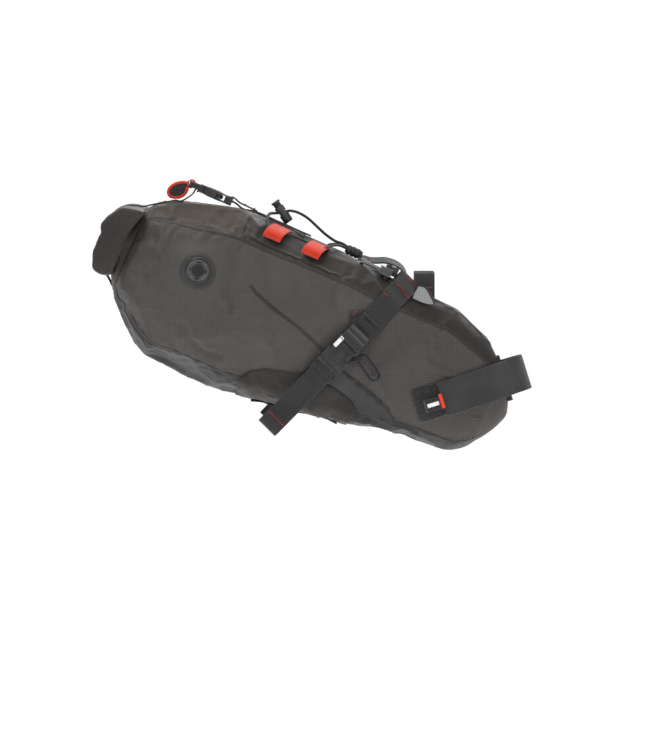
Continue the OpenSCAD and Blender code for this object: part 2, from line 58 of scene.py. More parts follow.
def stage():
    cam = bpy.data.cameras.new("camera")
    cam.sensor_width = 36.0
    cam.lens = 36.0 * DISTANCE / (750 * SCALE)
    cam.clip_end = 60
    view = bpy.data.objects.new("camera", cam)
    bpy.context.scene.collection.objects.link(view)
    back = Vector((0, -math.cos(ELEVATION), math.sin(ELEVATION)))
    view.location = AIM + back * DISTANCE
    view.rotation_euler = back.to_track_quat("Z", "Y").to_euler()
    bpy.context.scene.camera = view
    # Floor that curves up into a wall all round the back.
    mesh = bpy.data.meshes.new("floor")
    bm = bmesh.new()
    low, radius, size = -0.42, 1.2, 5.0
    profile = [(-size, low)] + [(size - radius + radius * math.sin(a), low + radius * (1 - math.cos(a)))
                                for a in [math.pi / 2 * k / 12 for k in range(13)]] + [(size, 9.0)]
    rows = [[bm.verts.new((x, y, z)) for x in (-9, 9)] for y, z in profile]
    for a, b in zip(rows, rows[1:]):
        bm.faces.new((a[0], a[1], b[1], b[0]))
    bm.to_mesh(mesh)
    floor = bpy.data.objects.new("floor", mesh)
    bpy.context.scene.collection.objects.link(floor)
    for p in mesh.polygons:
        p.use_smooth = True
    mat = bpy.data.materials.new("floor")
    mat.use_nodes = True
    bsdf = mat.node_tree.nodes["Principled BSDF"]
    bsdf.inputs["Base Color"].default_value = (0.93, 0.93, 0.93, 1)
    bsdf.inputs["Roughness"].default_value = 0.9
    bsdf.inputs["Emission Color"].default_value = (1, 1, 1, 1)
    bsdf.inputs["Emission Strength"].default_value = 0.3
    mesh.materials.append(mat)
    for name, place, size, power in (("key", (-1.3, -2.2, 3.0), 1.6, 85), ("fill", (2.4, -3.0, 0.9), 3.0, 22),
                                     ("top", (-0.3, 0.5, 2.8), 1.8, 30), ("back", (0.6, 2.6, 1.8), 2.0, 40)):
        lamp = bpy.data.lights.new(name, "AREA")
        lamp.energy = power
        lamp.size = size
        o = bpy.data.objects.new(name, lamp)
        o.location = place
        o.rotation_euler = (Vector(place) - Vector((-0.2, 0, 0.05))).to_track_quat("Z", "Y").to_euler()
        bpy.context.scene.collection.objects.link(o)
    world = bpy.context.scene.world or bpy.data.worlds.new("world")
    bpy.context.scene.world = world
    world.use_nodes = True
    world.node_tree.nodes["Background"].inputs["Color"].default_value = (1, 1, 1, 1)
    world.node_tree.nodes["Background"].inputs["Strength"].default_value = 0.42
    bpy.context.scene.view_settings.view_transform = "Standard"


stage()


# ---------------------------------------------------------------- materials
class Nodes:
    """A small helper that builds one material's node tree."""

    def __init__(self, name, roughness, specular=0.4, metallic=0.0, sheen=0.0):
        self.mat = bpy.data.materials.new(name)
        self.mat.use_nodes = True
        self.tree = self.mat.node_tree
        self.bsdf = self.tree.nodes["Principled BSDF"]
        self.bsdf.inputs["Roughness"].default_value = roughness
        self.bsdf.inputs["Specular IOR Level"].default_value = specular
        self.bsdf.inputs["Metallic"].default_value = metallic
        self.bsdf.inputs["Sheen Weight"].default_value = sheen
        self.coords = self.tree.nodes.new("ShaderNodeTexCoord")

    def link(self, a, b):
        self.tree.links.new(a, b)

    def math(self, op, a, b=0.0, clamp=False):
        n = self.tree.nodes.new("ShaderNodeMath")
        n.operation = op
        n.use_clamp = clamp
        for i, v in enumerate((a, b)):
            if isinstance(v, (int, float)):
                n.inputs[i].default_value = v
            else:
                self.link(v, n.inputs[i])
        return n.outputs[0]

    def noise(self, scale, detail=3, source="Object", stretch=(1, 1, 1)):
        m = self.tree.nodes.new("ShaderNodeMapping")
        m.inputs["Scale"].default_value = stretch
        self.link(self.coords.outputs[source], m.inputs["Vector"])
        n = self.tree.nodes.new("ShaderNodeTexNoise")
        n.inputs["Scale"].default_value = scale
        n.inputs["Detail"].default_value = detail
        self.link(m.outputs[0], n.inputs["Vector"])
        return n.outputs["Fac"]

    def axis(self, source, index):
        s = self.tree.nodes.new("ShaderNodeSeparateXYZ")
        self.link(self.coords.outputs[source], s.inputs[0])
        return s.outputs[index]

    def wave(self, value, pitch):
        """A sine from 0 to 1 along a coordinate, with its pitch in metres."""
        sine = self.math("SINE", self.math("MULTIPLY", value, 2 * math.pi / pitch))
        return self.math("ADD", self.math("MULTIPLY", sine, 0.5), 0.5)

    def ramp(self, fac, stops):
        r = self.tree.nodes.new("ShaderNodeValToRGB")
        while len(r.color_ramp.elements) < len(stops):
            r.color_ramp.elements.new(0.5)
        for e, (p, c) in zip(r.color_ramp.elements, stops):
            e.position = p
            e.color = (*c, 1) if len(c) == 3 else c
        self.link(fac, r.inputs[0])
        return r.outputs[0]

    def mix(self, fac, a, b):
        m = self.tree.nodes.new("ShaderNodeMix")
        m.data_type = "RGBA"
        for socket, v in ((m.inputs["Factor"], fac), (m.inputs["A"], a), (m.inputs["B"], b)):
            if isinstance(v, (int, float)):
                socket.default_value = v
            elif isinstance(v, tuple):
                socket.default_value = (*v, 1)
            else:
                self.link(v, socket)
        return m.outputs["Result"]

    def bump(self, height, strength, distance=0.0005, under=None):
        b = self.tree.nodes.new("ShaderNodeBump")
        b.inputs["Strength"].default_value = strength
        b.inputs["Distance"].default_value = distance
        self.link(height, b.inputs["Height"])
        if under is not None:
            self.link(under, b.inputs["Normal"])
        return b.outputs[0]

    def finish(self, colour, normal=None, rough=None):
        self.link(colour, self.bsdf.inputs["Base Color"])
        if normal is not None:
            self.link(normal, self.bsdf.inputs["Normal"])
        if rough is not None:
            self.link(rough, self.bsdf.inputs["Roughness"])
        return self.mat


def fabric(name, dark, light, grid=0.0, axes=(0, 2), rough=0.6):
    """Coated cloth: a fine plain weave, with a ripstop grid of thicker threads where grid is above 0."""
    n = Nodes(name, rough, specular=0.35, sheen=0.08)
    a, b = n.axis("Object", axes[0]), n.axis("Object", axes[1])
    weave = n.math("MULTIPLY", n.wave(a, 0.0007), n.wave(b, 0.0007))
    tone = n.noise(9.0, 4)
    colour = n.ramp(tone, [(0.3, dark), (0.7, light)])
    height = n.math("MULTIPLY", weave, 0.35)
    if grid:
        lines = n.math("MAXIMUM", n.math("POWER", n.wave(a, 0.0034), 14),
                       n.math("POWER", n.wave(b, 0.0034), 14))
        colour = n.mix(n.math("MULTIPLY", lines, grid), colour, tuple(c * 1.75 for c in light))
        height = n.math("ADD", height, n.math("MULTIPLY", lines, 0.8))
    fine = n.noise(380.0, 2)
    height = n.math("ADD", height, n.math("MULTIPLY", fine, 0.5))
    crinkle = n.noise(60.0, 4)
    normal = n.bump(height, 0.5, 0.0003)
    normal = n.bump(crinkle, 0.25, 0.0012, under=normal)
    roughness = n.math("ADD", n.math("MULTIPLY", n.noise(30.0, 3), 0.22), rough - 0.12)
    return n.finish(colour, normal, roughness)


def webbing(name, dark, light, rib=0.0016, rough=0.75):
    """Woven strap: ribs across a length, fine twill, a plain selvedge. UV runs in metres: length, width."""
    n = Nodes(name, rough, specular=0.3, sheen=0.25)
    along, across = n.axis("UV", 0), n.axis("UV", 1)
    diagonal = n.math("ADD", along, n.math("MULTIPLY", n.wave(across, 0.0034), 0.0012))
    ribs = n.wave(diagonal, rib)
    threads = n.wave(across, 0.0009)
    height = n.math("ADD", ribs, n.math("MULTIPLY", threads, 0.6))
    tone = n.noise(40.0, 4)
    colour = n.ramp(n.math("ADD", n.math("MULTIPLY", ribs, 0.35), n.math("MULTIPLY", tone, 0.65)),
                    [(0.25, dark), (0.75, light)])
    normal = n.bump(height, 0.7, 0.0004)
    normal = n.bump(n.noise(900.0, 2), 0.25, 0.0002, under=normal)
    return n.finish(colour, normal)


def plastic(name, colour, rough=0.42, grain=1200.0, edge_highlight_colour=(0.12, 0.12, 0.12)):
    """Moulded plastic with spark-eroded grain; its sharp edges carry a painted highlight, a lighter grey in
    patches.
    """
    n = Nodes(name, rough, specular=0.5)
    geometry = n.tree.nodes.new("ShaderNodeNewGeometry")
    # Painted highlight: sharp edges, found by pointiness, are painted a lighter grey in patches, standing in
    # for gloss catching the light.
    edge = n.ramp(geometry.outputs["Pointiness"], [(0.53, (0, 0, 0)), (0.62, (1, 1, 1))])
    edge_highlight_mask = n.math("MULTIPLY", edge, n.noise(220.0, 4))
    tone = n.ramp(n.noise(30.0, 3), [(0.35, colour), (0.7, tuple(c * 1.5 for c in colour))])
    base = n.mix(edge_highlight_mask, tone, edge_highlight_colour)
    normal = n.bump(n.noise(grain, 2), 0.22, 0.0002)
    roughness = n.math("ADD", n.math("MULTIPLY", n.noise(90.0, 3), 0.2), rough - 0.1)
    return n.finish(base, normal, roughness)


def metal(name, colour, rough=0.28):
    n = Nodes(name, rough, specular=0.5, metallic=1.0)
    brushed = n.noise(260.0, 3, stretch=(1, 12, 12))
    base = n.ramp(brushed, [(0.3, tuple(c * 0.8 for c in colour)), (0.7, colour)])
    normal = n.bump(brushed, 0.15, 0.0001)
    roughness = n.math("ADD", n.math("MULTIPLY", brushed, 0.2), rough - 0.1)
    return n.finish(base, normal, roughness)


def braid(name, dark, light):
    """Braided cord. UV runs in metres along the cord and round it."""
    n = Nodes(name, 0.75, specular=0.3, sheen=0.2)
    along, around = n.axis("UV", 0), n.axis("UV", 1)
    one = n.wave(n.math("ADD", along, n.math("MULTIPLY", around, 1.0)), 0.0018)
    two = n.wave(n.math("SUBTRACT", along, n.math("MULTIPLY", around, 1.0)), 0.0018)
    cross = n.math("MAXIMUM", one, two)
    colour = n.ramp(cross, [(0.4, dark), (0.95, light)])
    return n.finish(colour, n.bump(cross, 0.8, 0.0004))


def reflective(name):
    """Silver-white retroreflective tape with its fine honeycomb cells."""
    n = Nodes(name, 0.3, specular=0.6, sheen=0.0)
    v = n.tree.nodes.new("ShaderNodeTexVoronoi")
    v.inputs["Scale"].default_value = 900.0
    n.link(n.coords.outputs["Object"], v.inputs["Vector"])
    colour = n.ramp(v.outputs["Distance"], [(0.2, (0.82, 0.83, 0.83)), (0.8, (0.6, 0.62, 0.63))])
    return n.finish(colour, n.bump(v.outputs["Distance"], 0.3, 0.0002))


def hooks(name):
    """Hook and loop tape: a field of short fibres."""
    n = Nodes(name, 0.9, specular=0.2, sheen=0.3)
    v = n.tree.nodes.new("ShaderNodeTexVoronoi")
    v.inputs["Scale"].default_value = 1100.0
    n.link(n.coords.outputs["Object"], v.inputs["Vector"])
    colour = n.ramp(v.outputs["Distance"], [(0.1, (0.05, 0.048, 0.048)), (0.7, (0.008, 0.008, 0.008))])
    return n.finish(colour, n.bump(v.outputs["Distance"], 1.0, 0.0008))


M = {
    "ripstop": fabric("ripstop", (0.037, 0.033, 0.030), (0.054, 0.049, 0.045), grid=0.32),
    "coated": fabric("coated_cloth", (0.022, 0.0145, 0.0095), (0.036, 0.025, 0.017), grid=0.12, axes=(0, 1),
                     rough=0.62),
    "roll": fabric("roll_cloth", (0.017, 0.0135, 0.012), (0.031, 0.025, 0.022), grid=0.0, axes=(1, 2),
                   rough=0.6),
    "plain": fabric("plain_cloth", (0.025, 0.024, 0.025), (0.039, 0.038, 0.038), grid=0.0),
    "yoke": fabric("yoke_cloth", (0.012, 0.0095, 0.008), (0.022, 0.018, 0.0155), grid=0.0, axes=(0, 1)),
    "under": fabric("bottom_cloth", (0.008, 0.007, 0.0068), (0.015, 0.0135, 0.013), grid=0.0, axes=(0, 1)),
    "scuff": fabric("scuff_cloth", (0.014, 0.0115, 0.0095), (0.024, 0.020, 0.0165), grid=0.0, rough=0.7),
    "tape": fabric("welded_tape", (0.018, 0.0155, 0.014), (0.030, 0.026, 0.024), grid=0.0, rough=0.6),
    "grey": fabric("grey_cloth", (0.17, 0.175, 0.18), (0.27, 0.275, 0.28), grid=0.15),
    "webbing": webbing("black_webbing", (0.010, 0.009, 0.009), (0.027, 0.025, 0.025)),
    "webbing_light": webbing("nose_webbing", (0.018, 0.017, 0.018), (0.042, 0.040, 0.041), rib=0.0012),
    "red": webbing("red_webbing", (0.50, 0.016, 0.003), (0.80, 0.050, 0.008), rib=0.0014),
    "thread": webbing("red_thread", (0.55, 0.02, 0.015), (0.8, 0.05, 0.03), rib=0.0006),
    "black_thread": webbing("black_thread", (0.01, 0.01, 0.01), (0.05, 0.05, 0.05), rib=0.0006),
    "plastic": plastic("black_plastic", (0.007, 0.007, 0.0075), rough=0.3),
    "rubber": plastic("pad_rubber", (0.012, 0.012, 0.012), rough=0.7, grain=500.0),
    "sheet": plastic("stiffener_sheet", (0.02, 0.02, 0.02), rough=0.5),
    "metal": metal("bright_metal", (0.78, 0.79, 0.80)),
    "steel": metal("dark_steel", (0.24, 0.235, 0.23), rough=0.35),
    "anodised": metal("black_anodised", (0.045, 0.045, 0.05), rough=0.35),
    "cord": braid("shock_cord", (0.006, 0.006, 0.006), (0.032, 0.031, 0.031)),
    "reflective": reflective("reflective_tape"),
    "hooks": hooks("hook_tape"),
    "silicone": plastic("valve_silicone", (0.08, 0.08, 0.085), rough=0.5),
}


# ---------------------------------------------------------------- mesh helpers
def add(name, verts, faces, material, body="bag", uvs=None, smooth=True):
    mesh = bpy.data.meshes.new(name)
    mesh.from_pydata([tuple(v) for v in verts], [], faces)
    mesh.validate()
    if uvs is not None:
        layer = mesh.uv_layers.new(name="UVMap")
        for loop in mesh.loops:
            layer.data[loop.index].uv = uvs[loop.vertex_index]
    mesh.materials.append(M[material])
    for p in mesh.polygons:
        p.use_smooth = smooth
    o = bpy.data.objects.new(name, mesh)
    bpy.context.scene.collection.objects.link(o)
    if body:
        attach(o, body)
    return o


def outward(o):
    """Turns every face outward and merges doubled points."""
    bm = bmesh.new()
    bm.from_mesh(o.data)
    bmesh.ops.remove_doubles(bm, verts=bm.verts, dist=1e-6)
    bmesh.ops.recalc_face_normals(bm, faces=bm.faces)
    bm.to_mesh(o.data)
    bm.free()
    return o


def modifier(o, kind, **settings):
    m = o.modifiers.new(kind.lower(), kind)
    for key, value in settings.items():
        setattr(m, key, value)
    return m


def soften(o, width=0.5, segments=2, angle=35):
    """Rounds a hard piece's edges."""
    modifier(o, "BEVEL", width=width * MM, segments=segments, limit_method="ANGLE",
             angle_limit=math.radians(angle), use_clamp_overlap=True)
    for p in o.data.polygons:
        p.use_smooth = True
    modifier(o, "WEIGHTED_NORMAL", keep_sharp=True)
    return o


def smooth_path(points, step=2.0):
    """A Catmull-Rom curve through points in millimetres, sampled about every step."""
    out = []
    n = len(points)
    for i in range(n - 1):
        p0, p1, p2, p3 = (points[max(i - 1, 0)], points[i], points[i + 1], points[min(i + 2, n - 1)])
        count = max(1, int((p2 - p1).length / step))
        for k in range(count):
            t = k / count
            out.append(0.5 * ((2 * p1) + (p2 - p0) * t + (2 * p0 - 5 * p1 + 4 * p2 - p3) * t * t
                              + (3 * p1 - p0 - 3 * p2 + p3) * t ** 3))
    out.append(points[-1])
    return out


def ribbon(name, points, across, width, thick, material="webbing", body="bag", step=2.0, ends=None):
    """Webbing along points (mm) whose width runs along the vector across, with rounded edges."""
    path = smooth_path([Vector(p) for p in points], step)
    if callable(across):
        sides = [across(p).normalized() for p in path]
    else:
        sides = [Vector(across).normalized()] * len(path)
    edge = thick * 0.35
    ring = [(-width / 2, 0), (-width / 2 + edge * 0.4, thick * 0.38), (-width / 2 + edge * 1.6, thick / 2)]
    inner = [(-width / 2 + width * k / 6, thick / 2) for k in range(1, 6)]
    half = ring + inner + [(-x, y) for x, y in reversed(ring)]
    section = half + [(x, -y) for x, y in reversed(half[1:-1])]
    verts, uvs, run = [], [], 0.0
    n, m = len(path), len(section)
    for i, p in enumerate(path):
        tangent = (path[min(i + 1, n - 1)] - path[max(i - 1, 0)]).normalized()
        side = (sides[i] - tangent * sides[i].dot(tangent)).normalized()
        normal = side.cross(tangent).normalized()
        if i:
            run += (p - path[i - 1]).length
        w = 1.0 if ends is None else ends(i / (n - 1))
        for x, y in section:
            verts.append((p + side * x * w + normal * y) * MM)
            uvs.append((run * MM, x * MM))
    faces = [(i * m + k, i * m + (k + 1) % m, (i + 1) * m + (k + 1) % m, (i + 1) * m + k)
             for i in range(n - 1) for k in range(m)]
    faces += [tuple(range(m - 1, -1, -1)), tuple((n - 1) * m + k for k in range(m))]
    return outward(add(name, verts, faces, material, body, uvs))


def tube(name, points, radius, material="cord", body="bag", sides=10, step=1.5, closed=False, smooth=True):
    """A round cord, wire or thread along points in millimetres."""
    path = smooth_path([Vector(p) for p in points], step) if smooth else [Vector(p) for p in points]
    n = len(path)
    verts, uvs, run = [], [], 0.0
    up = None
    for i, p in enumerate(path):
        tangent = (path[min(i + 1, n - 1)] - path[max(i - 1, 0)]).normalized()
        if up is None:
            up = tangent.orthogonal().normalized()
        up = (up - tangent * up.dot(tangent)).normalized()
        side = tangent.cross(up)
        if i:
            run += (p - path[i - 1]).length
        r = radius(i / (n - 1)) if callable(radius) else radius
        for k in range(sides):
            a = 2 * math.pi * k / sides
            verts.append((p + (up * math.cos(a) + side * math.sin(a)) * r) * MM)
            uvs.append((run * MM, r * a * MM))
    faces = [(i * sides + k, i * sides + (k + 1) % sides, (i + 1) * sides + (k + 1) % sides,
              (i + 1) * sides + k)
             for i in range(n - 1) for k in range(sides)]
    faces += [tuple(range(sides - 1, -1, -1)), tuple((n - 1) * sides + k for k in range(sides))]
    return outward(add(name, verts, faces, material, body, uvs))


def joined(name, objects, material=None):
    """Joins pieces made with add() into one."""
    with bpy.context.temp_override(active_object=objects[0], selected_editable_objects=objects):
        bpy.ops.object.join()
    objects[0].name = name
    return objects[0]


def matrix(origin, x_axis, z_axis):
    """A local frame in millimetres: X and Z given, Y = Z x X."""
    x, z = Vector(x_axis).normalized(), Vector(z_axis).normalized()
    y = z.cross(x)
    m = Matrix((x, y, z)).transposed().to_4x4()
    m.translation = Vector(origin)
    return m


def slab(name, outline, low, high, place, material="plastic", body="bag", bevel=0.6, holes=()):
    """An outline in a local XY plane, given a thickness along local Z, with rounded edges."""
    loops = [list(outline)] + [list(h) for h in holes]
    points, edges = [], []
    for loop in loops:
        base = len(points)
        points += [Vector(p) for p in loop]
        edges += [(base + i, base + (i + 1) % len(loop)) for i in range(len(loop))]
    co, _, tris, _, _, _ = delaunay_2d_cdt(points, edges, [], 2 if not holes else 1, 1e-5)
    faces2 = []
    for t in tris:
        c = sum((Vector(co[i]) for i in t), Vector((0, 0))) / len(t)
        if inside(c, loops[0]) and not any(inside(c, h) for h in loops[1:]):
            faces2.append(t)
    bm = bmesh.new()
    verts = [bm.verts.new(place @ Vector((p[0], p[1], low)) * MM) for p in co]
    for t in faces2:
        bm.faces.new([verts[i] for i in t])
    loose = [v for v in bm.verts if not v.link_faces]
    bmesh.ops.delete(bm, geom=loose, context="VERTS")
    bmesh.ops.dissolve_limit(bm, angle_limit=0.01, verts=bm.verts, edges=bm.edges)
    up = (place.to_3x3() @ Vector((0, 0, high - low))) * MM
    out = bmesh.ops.extrude_face_region(bm, geom=list(bm.faces))
    bmesh.ops.translate(bm, vec=up, verts=[g for g in out["geom"] if isinstance(g, bmesh.types.BMVert)])
    bmesh.ops.recalc_face_normals(bm, faces=bm.faces)
    mesh = bpy.data.meshes.new(name)
    bm.to_mesh(mesh)
    bm.free()
    mesh.materials.append(M[material])
    o = bpy.data.objects.new(name, mesh)
    bpy.context.scene.collection.objects.link(o)
    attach(o, body)
    if bevel:
        soften(o, bevel, 2)
    return o


def inside(p, loop):
    x, y = p[0], p[1]
    hit = False
    for i in range(len(loop)):
        x1, y1 = loop[i]
        x2, y2 = loop[(i + 1) % len(loop)]
        if (y1 > y) != (y2 > y) and x < (x2 - x1) * (y - y1) / (y2 - y1) + x1:
            hit = not hit
    return hit


def rounded(x0, y0, x1, y1, r, steps=5):
    """A rectangle with round corners."""
    pts = []
    for cx, cy, a0 in ((x1 - r, y1 - r, 0), (x0 + r, y1 - r, 90), (x0 + r, y0 + r, 180),
                       (x1 - r, y0 + r, 270)):
        for k in range(steps + 1):
            a = math.radians(a0 + 90 * k / steps)
            pts.append((cx + r * math.cos(a), cy + r * math.sin(a)))
    return pts


def lathe(name, profile, place, material="plastic", body="bag", steps=48):
    """A profile of (radius, height) turned about local Z, with its own closed outline."""
    verts, faces = [], []
    n = len(profile)
    for k in range(steps):
        a = 2 * math.pi * k / steps
        verts += [place @ Vector((r * math.cos(a), r * math.sin(a), z)) * MM for r, z in profile]
    for k in range(steps):
        for i in range(n - 1):
            faces.append((k * n + i, ((k + 1) % steps) * n + i, ((k + 1) % steps) * n + i + 1, k * n + i + 1))
    o = outward(add(name, verts, faces, material, body))
    return o


# ---------------------------------------------------------------- frames, in millimetres
C, S = math.cos(TILT), math.sin(TILT)


def bag(u, y, w):
    """A point given along the bag, across it and up from its axis."""
    return Vector((u * C + w * S, y, -u * S + w * C))


def bag_place(u, y, w, x_axis=(1, 0, 0), z_axis=(0, 0, 1)):
    """A local frame set in the bag's frame."""
    turn = lambda v: bag(*v)
    return matrix(bag(u, y, w), turn(x_axis), turn(z_axis))


STRAP_TURN = math.radians(134.5)
STRAP_DOWN = Vector((math.cos(STRAP_TURN), 0, -math.sin(STRAP_TURN)))
STRAP_ACROSS = Vector((math.sin(STRAP_TURN), 0, math.cos(STRAP_TURN)))
STRAP_ORIGIN = Vector((-190, 0, 25))


def strap(s, y, t):
    """A point given down the side strap, out from the middle plane and across the strap."""
    return STRAP_ORIGIN + STRAP_DOWN * s + STRAP_ACROSS * t + Vector((0, y, 0))


def post(x, y, z):
    c, s = math.cos(POST_LEAN), math.sin(POST_LEAN)
    return Vector((x * c - z * s, y, x * s + z * c))


def mirrored(points):
    return [Vector((p[0], -p[1], p[2])) for p in points]


# ---------------------------------------------------------------- the fabric body
TOP = [(-434, 6), (-426, 14), (-412, 23), (-387, 32), (-350, 43), (-333, 46), (-200, 46), (-171, 42),
       (-85, 40), (-58, 30), (-38, 23), (-23, 13), (-12, 4), (0, -12), (6, -25), (10, -39)]
BOTTOM = [(-434, -92), (-427, -101), (-410, -117), (-390, -132), (-375, -140), (-292, -141), (-264, -137),
          (-196, -130), (-129, -119), (-86, -109), (-35, -104), (-28, -101), (-16, -91), (-3, -74),
          (6, -60), (10, -47)]
HALF = [(-434, 66), (-410, 76), (-370, 82), (-320, 82), (-260, 77), (-200, 68), (-150, 58), (-100, 46),
        (-60, 38), (-30, 31), (-10, 25), (4, 17), (10, 7)]
SEAM_UP, SEAM_LOW, YOKE_U, NOSE_U = 50, 142, -330, -70
VALVE = (-358, -32)


def softened(rows, sigma=3.5):
    """A table as a smooth curve sampled each millimetre."""
    grid = np.arange(-434.0, 10.5, 1.0)
    value = np.interp(grid, [r[0] for r in rows], [r[1] for r in rows])
    reach = np.arange(-12, 13)
    kernel = np.exp(-0.5 * (reach / sigma) ** 2)
    ends = np.pad(value, 12, mode="reflect", reflect_type="odd")
    return grid, np.convolve(ends, kernel / kernel.sum(), mode="valid")


T_CURVE, B_CURVE, H_CURVE = softened(TOP), softened(BOTTOM), softened(HALF)


def spow(v, p):
    return np.sign(v) * np.abs(v) ** p


def section(u, th):
    """The bag's skin at u, at th degrees round from the top; 90 is the right side."""
    t, b, h = (np.interp(u, *c) for c in (T_CURVE, B_CURVE, H_CURVE))
    th = np.radians(th)
    y = -h * spow(np.sin(th), 2 / ROUNDNESS)
    w = (t + b) / 2 + (t - b) / 2 * spow(np.cos(th), 2 / ROUNDNESS)
    return np.stack([u * C + w * S, y, -u * S + w * C], axis=-1)


def spread(a, b, n):
    return list(np.linspace(a, b, n + 1)[:-1])


US = np.array(list(np.arange(-434.0, -16, 4.0)) + list(np.arange(-16.0, 10.1, 2.0)))
THS = np.array(spread(-SEAM_UP, SEAM_UP, 34) + spread(SEAM_UP, SEAM_LOW, 36)
               + spread(SEAM_LOW, 360 - SEAM_LOW, 26) + spread(360 - SEAM_LOW, 360 - SEAM_UP, 36))


def grid_faces(nu, nt):
    return [(i * nt + k, (i + 1) * nt + k, (i + 1) * nt + (k + 1) % nt, i * nt + (k + 1) % nt)
            for i in range(nu - 1) for k in range(nt)]


def inflated(points):
    """Cloth under a little pressure, held at its mouth, nose and welded seams."""
    nu, nt = points.shape[:2]
    mesh = bpy.data.meshes.new("inflating")
    mesh.from_pydata((points.reshape(-1, 3) * MM).tolist(), [], grid_faces(nu, nt))
    o = bpy.data.objects.new("inflating", mesh)
    bpy.context.scene.collection.objects.link(o)
    held = o.vertex_groups.new(name="held")
    seams = [int(np.argmin(np.abs(THS - a))) for a in (-SEAM_UP, SEAM_UP, SEAM_LOW, 360 - SEAM_LOW)]
    edge = [i * nt + k for i in range(nu) for k in range(nt)
            if i < 2 or US[i] > -12 or k in seams]
    held.add(edge, 1.0, "REPLACE")
    cloth = o.modifiers.new("cloth", "CLOTH")
    c = cloth.settings
    c.quality = 5
    c.mass = 0.2
    c.tension_stiffness = c.compression_stiffness = 12
    c.shear_stiffness = 5
    c.bending_stiffness = 0.6
    c.use_pressure = True
    c.uniform_pressure_force = 3.5
    c.shrink_min = -0.02
    c.vertex_group_mass = "held"
    c.effector_weights.gravity = 0
    cloth.collision_settings.use_self_collision = False
    cloth.point_cache.frame_start, cloth.point_cache.frame_end = 1, 20
    scene = bpy.context.scene
    for f in range(1, 21):
        scene.frame_set(f)
    done = o.evaluated_get(bpy.context.evaluated_depsgraph_get())
    co = np.zeros(len(mesh.vertices) * 3)
    done.data.vertices.foreach_get("co", co)
    moved = co.reshape(nu, nt, 3) / MM - points
    bpy.data.objects.remove(o)
    scene.frame_set(1)
    return moved


def normals(points):
    du = np.gradient(points, axis=0)
    dt = np.roll(points, -1, axis=1) - np.roll(points, 1, axis=1)
    n = np.cross(dt, du)
    n /= np.maximum(np.linalg.norm(n, axis=-1, keepdims=True), 1e-9)
    middle = points.mean(axis=1, keepdims=True)
    flip = np.sign(((points - middle) * n).sum(-1, keepdims=True).mean())
    return n * flip


def finer(a, wrap):
    """Doubles a grid along its first axis with smooth in-between points."""
    if wrap:
        before, after, after2 = np.roll(a, 1, 0), np.roll(a, -1, 0), np.roll(a, -2, 0)
        mid = (9 * (a + after) - before - after2) / 16
        out = np.empty((2 * len(a),) + a.shape[1:])
        out[0::2], out[1::2] = a, mid
        return out
    p = np.concatenate([2 * a[:1] - a[1:2], a, 2 * a[-1:] - a[-2:-1]])
    mid = (9 * (p[1:-2] + p[2:-1]) - p[:-3] - p[3:]) / 16
    out = np.empty((2 * len(a) - 1,) + a.shape[1:])
    out[0::2], out[1::2] = a, mid
    return out


def gap_to(px, py, path):
    """Distance of points (arrays px, py) to a polyline."""
    best = np.full(px.shape, 1e9)
    for (x1, y1), (x2, y2) in zip(path, path[1:]):
        dx, dy = x2 - x1, y2 - y1
        t = np.clip(((px - x1) * dx + (py - y1) * dy) / (dx * dx + dy * dy), 0, 1)
        best = np.minimum(best, np.hypot(px - x1 - t * dx, py - y1 - t * dy))
    return best


def bell(d, width):
    return np.exp(-(d / width) ** 2)


# Folds seen on both sides: polyline along and up the bag, depth in millimetres, half width.
FOLDS = [
    ([(-352, -92), (-336, -104), (-318, -110), (-300, -108)], -2.6, 4.0),
    ([(-354, -84), (-336, -95), (-314, -102)], 1.6, 6.0),
    ([(-326, 10), (-322, -14), (-312, -40), (-306, -66)], -1.8, 9.0),
    ([(-340, 6), (-338, -20), (-332, -44)], 1.6, 9.0),
    ([(-418, -20), (-400, -60), (-384, -86)], -1.6, 8.0),
    ([(-430, -62), (-404, -70), (-380, -72)], 1.2, 7.0),
    ([(-300, 14), (-282, -10), (-262, -30)], -1.4, 8.0),
    ([(-262, 14), (-246, -10), (-226, -28)], -1.5, 7.0),
    ([(-282, -44), (-262, -70), (-240, -92)], 1.2, 9.0),
    ([(-214, 10), (-208, -4), (-196, -14)], -1.6, 5.0),
    ([(-140, 4), (-128, -12), (-112, -26)], -1.3, 6.0),
    ([(-132, -30), (-112, -48), (-100, -70)], -1.2, 8.0),
    ([(-100, 16), (-84, 6), (-64, 2)], -1.3, 6.0),
    ([(-70, -92), (-54, -80), (-40, -70)], -1.2, 6.0),
    ([(-250, -112), (-280, -116), (-304, -128)], -1.4, 6.0),
]


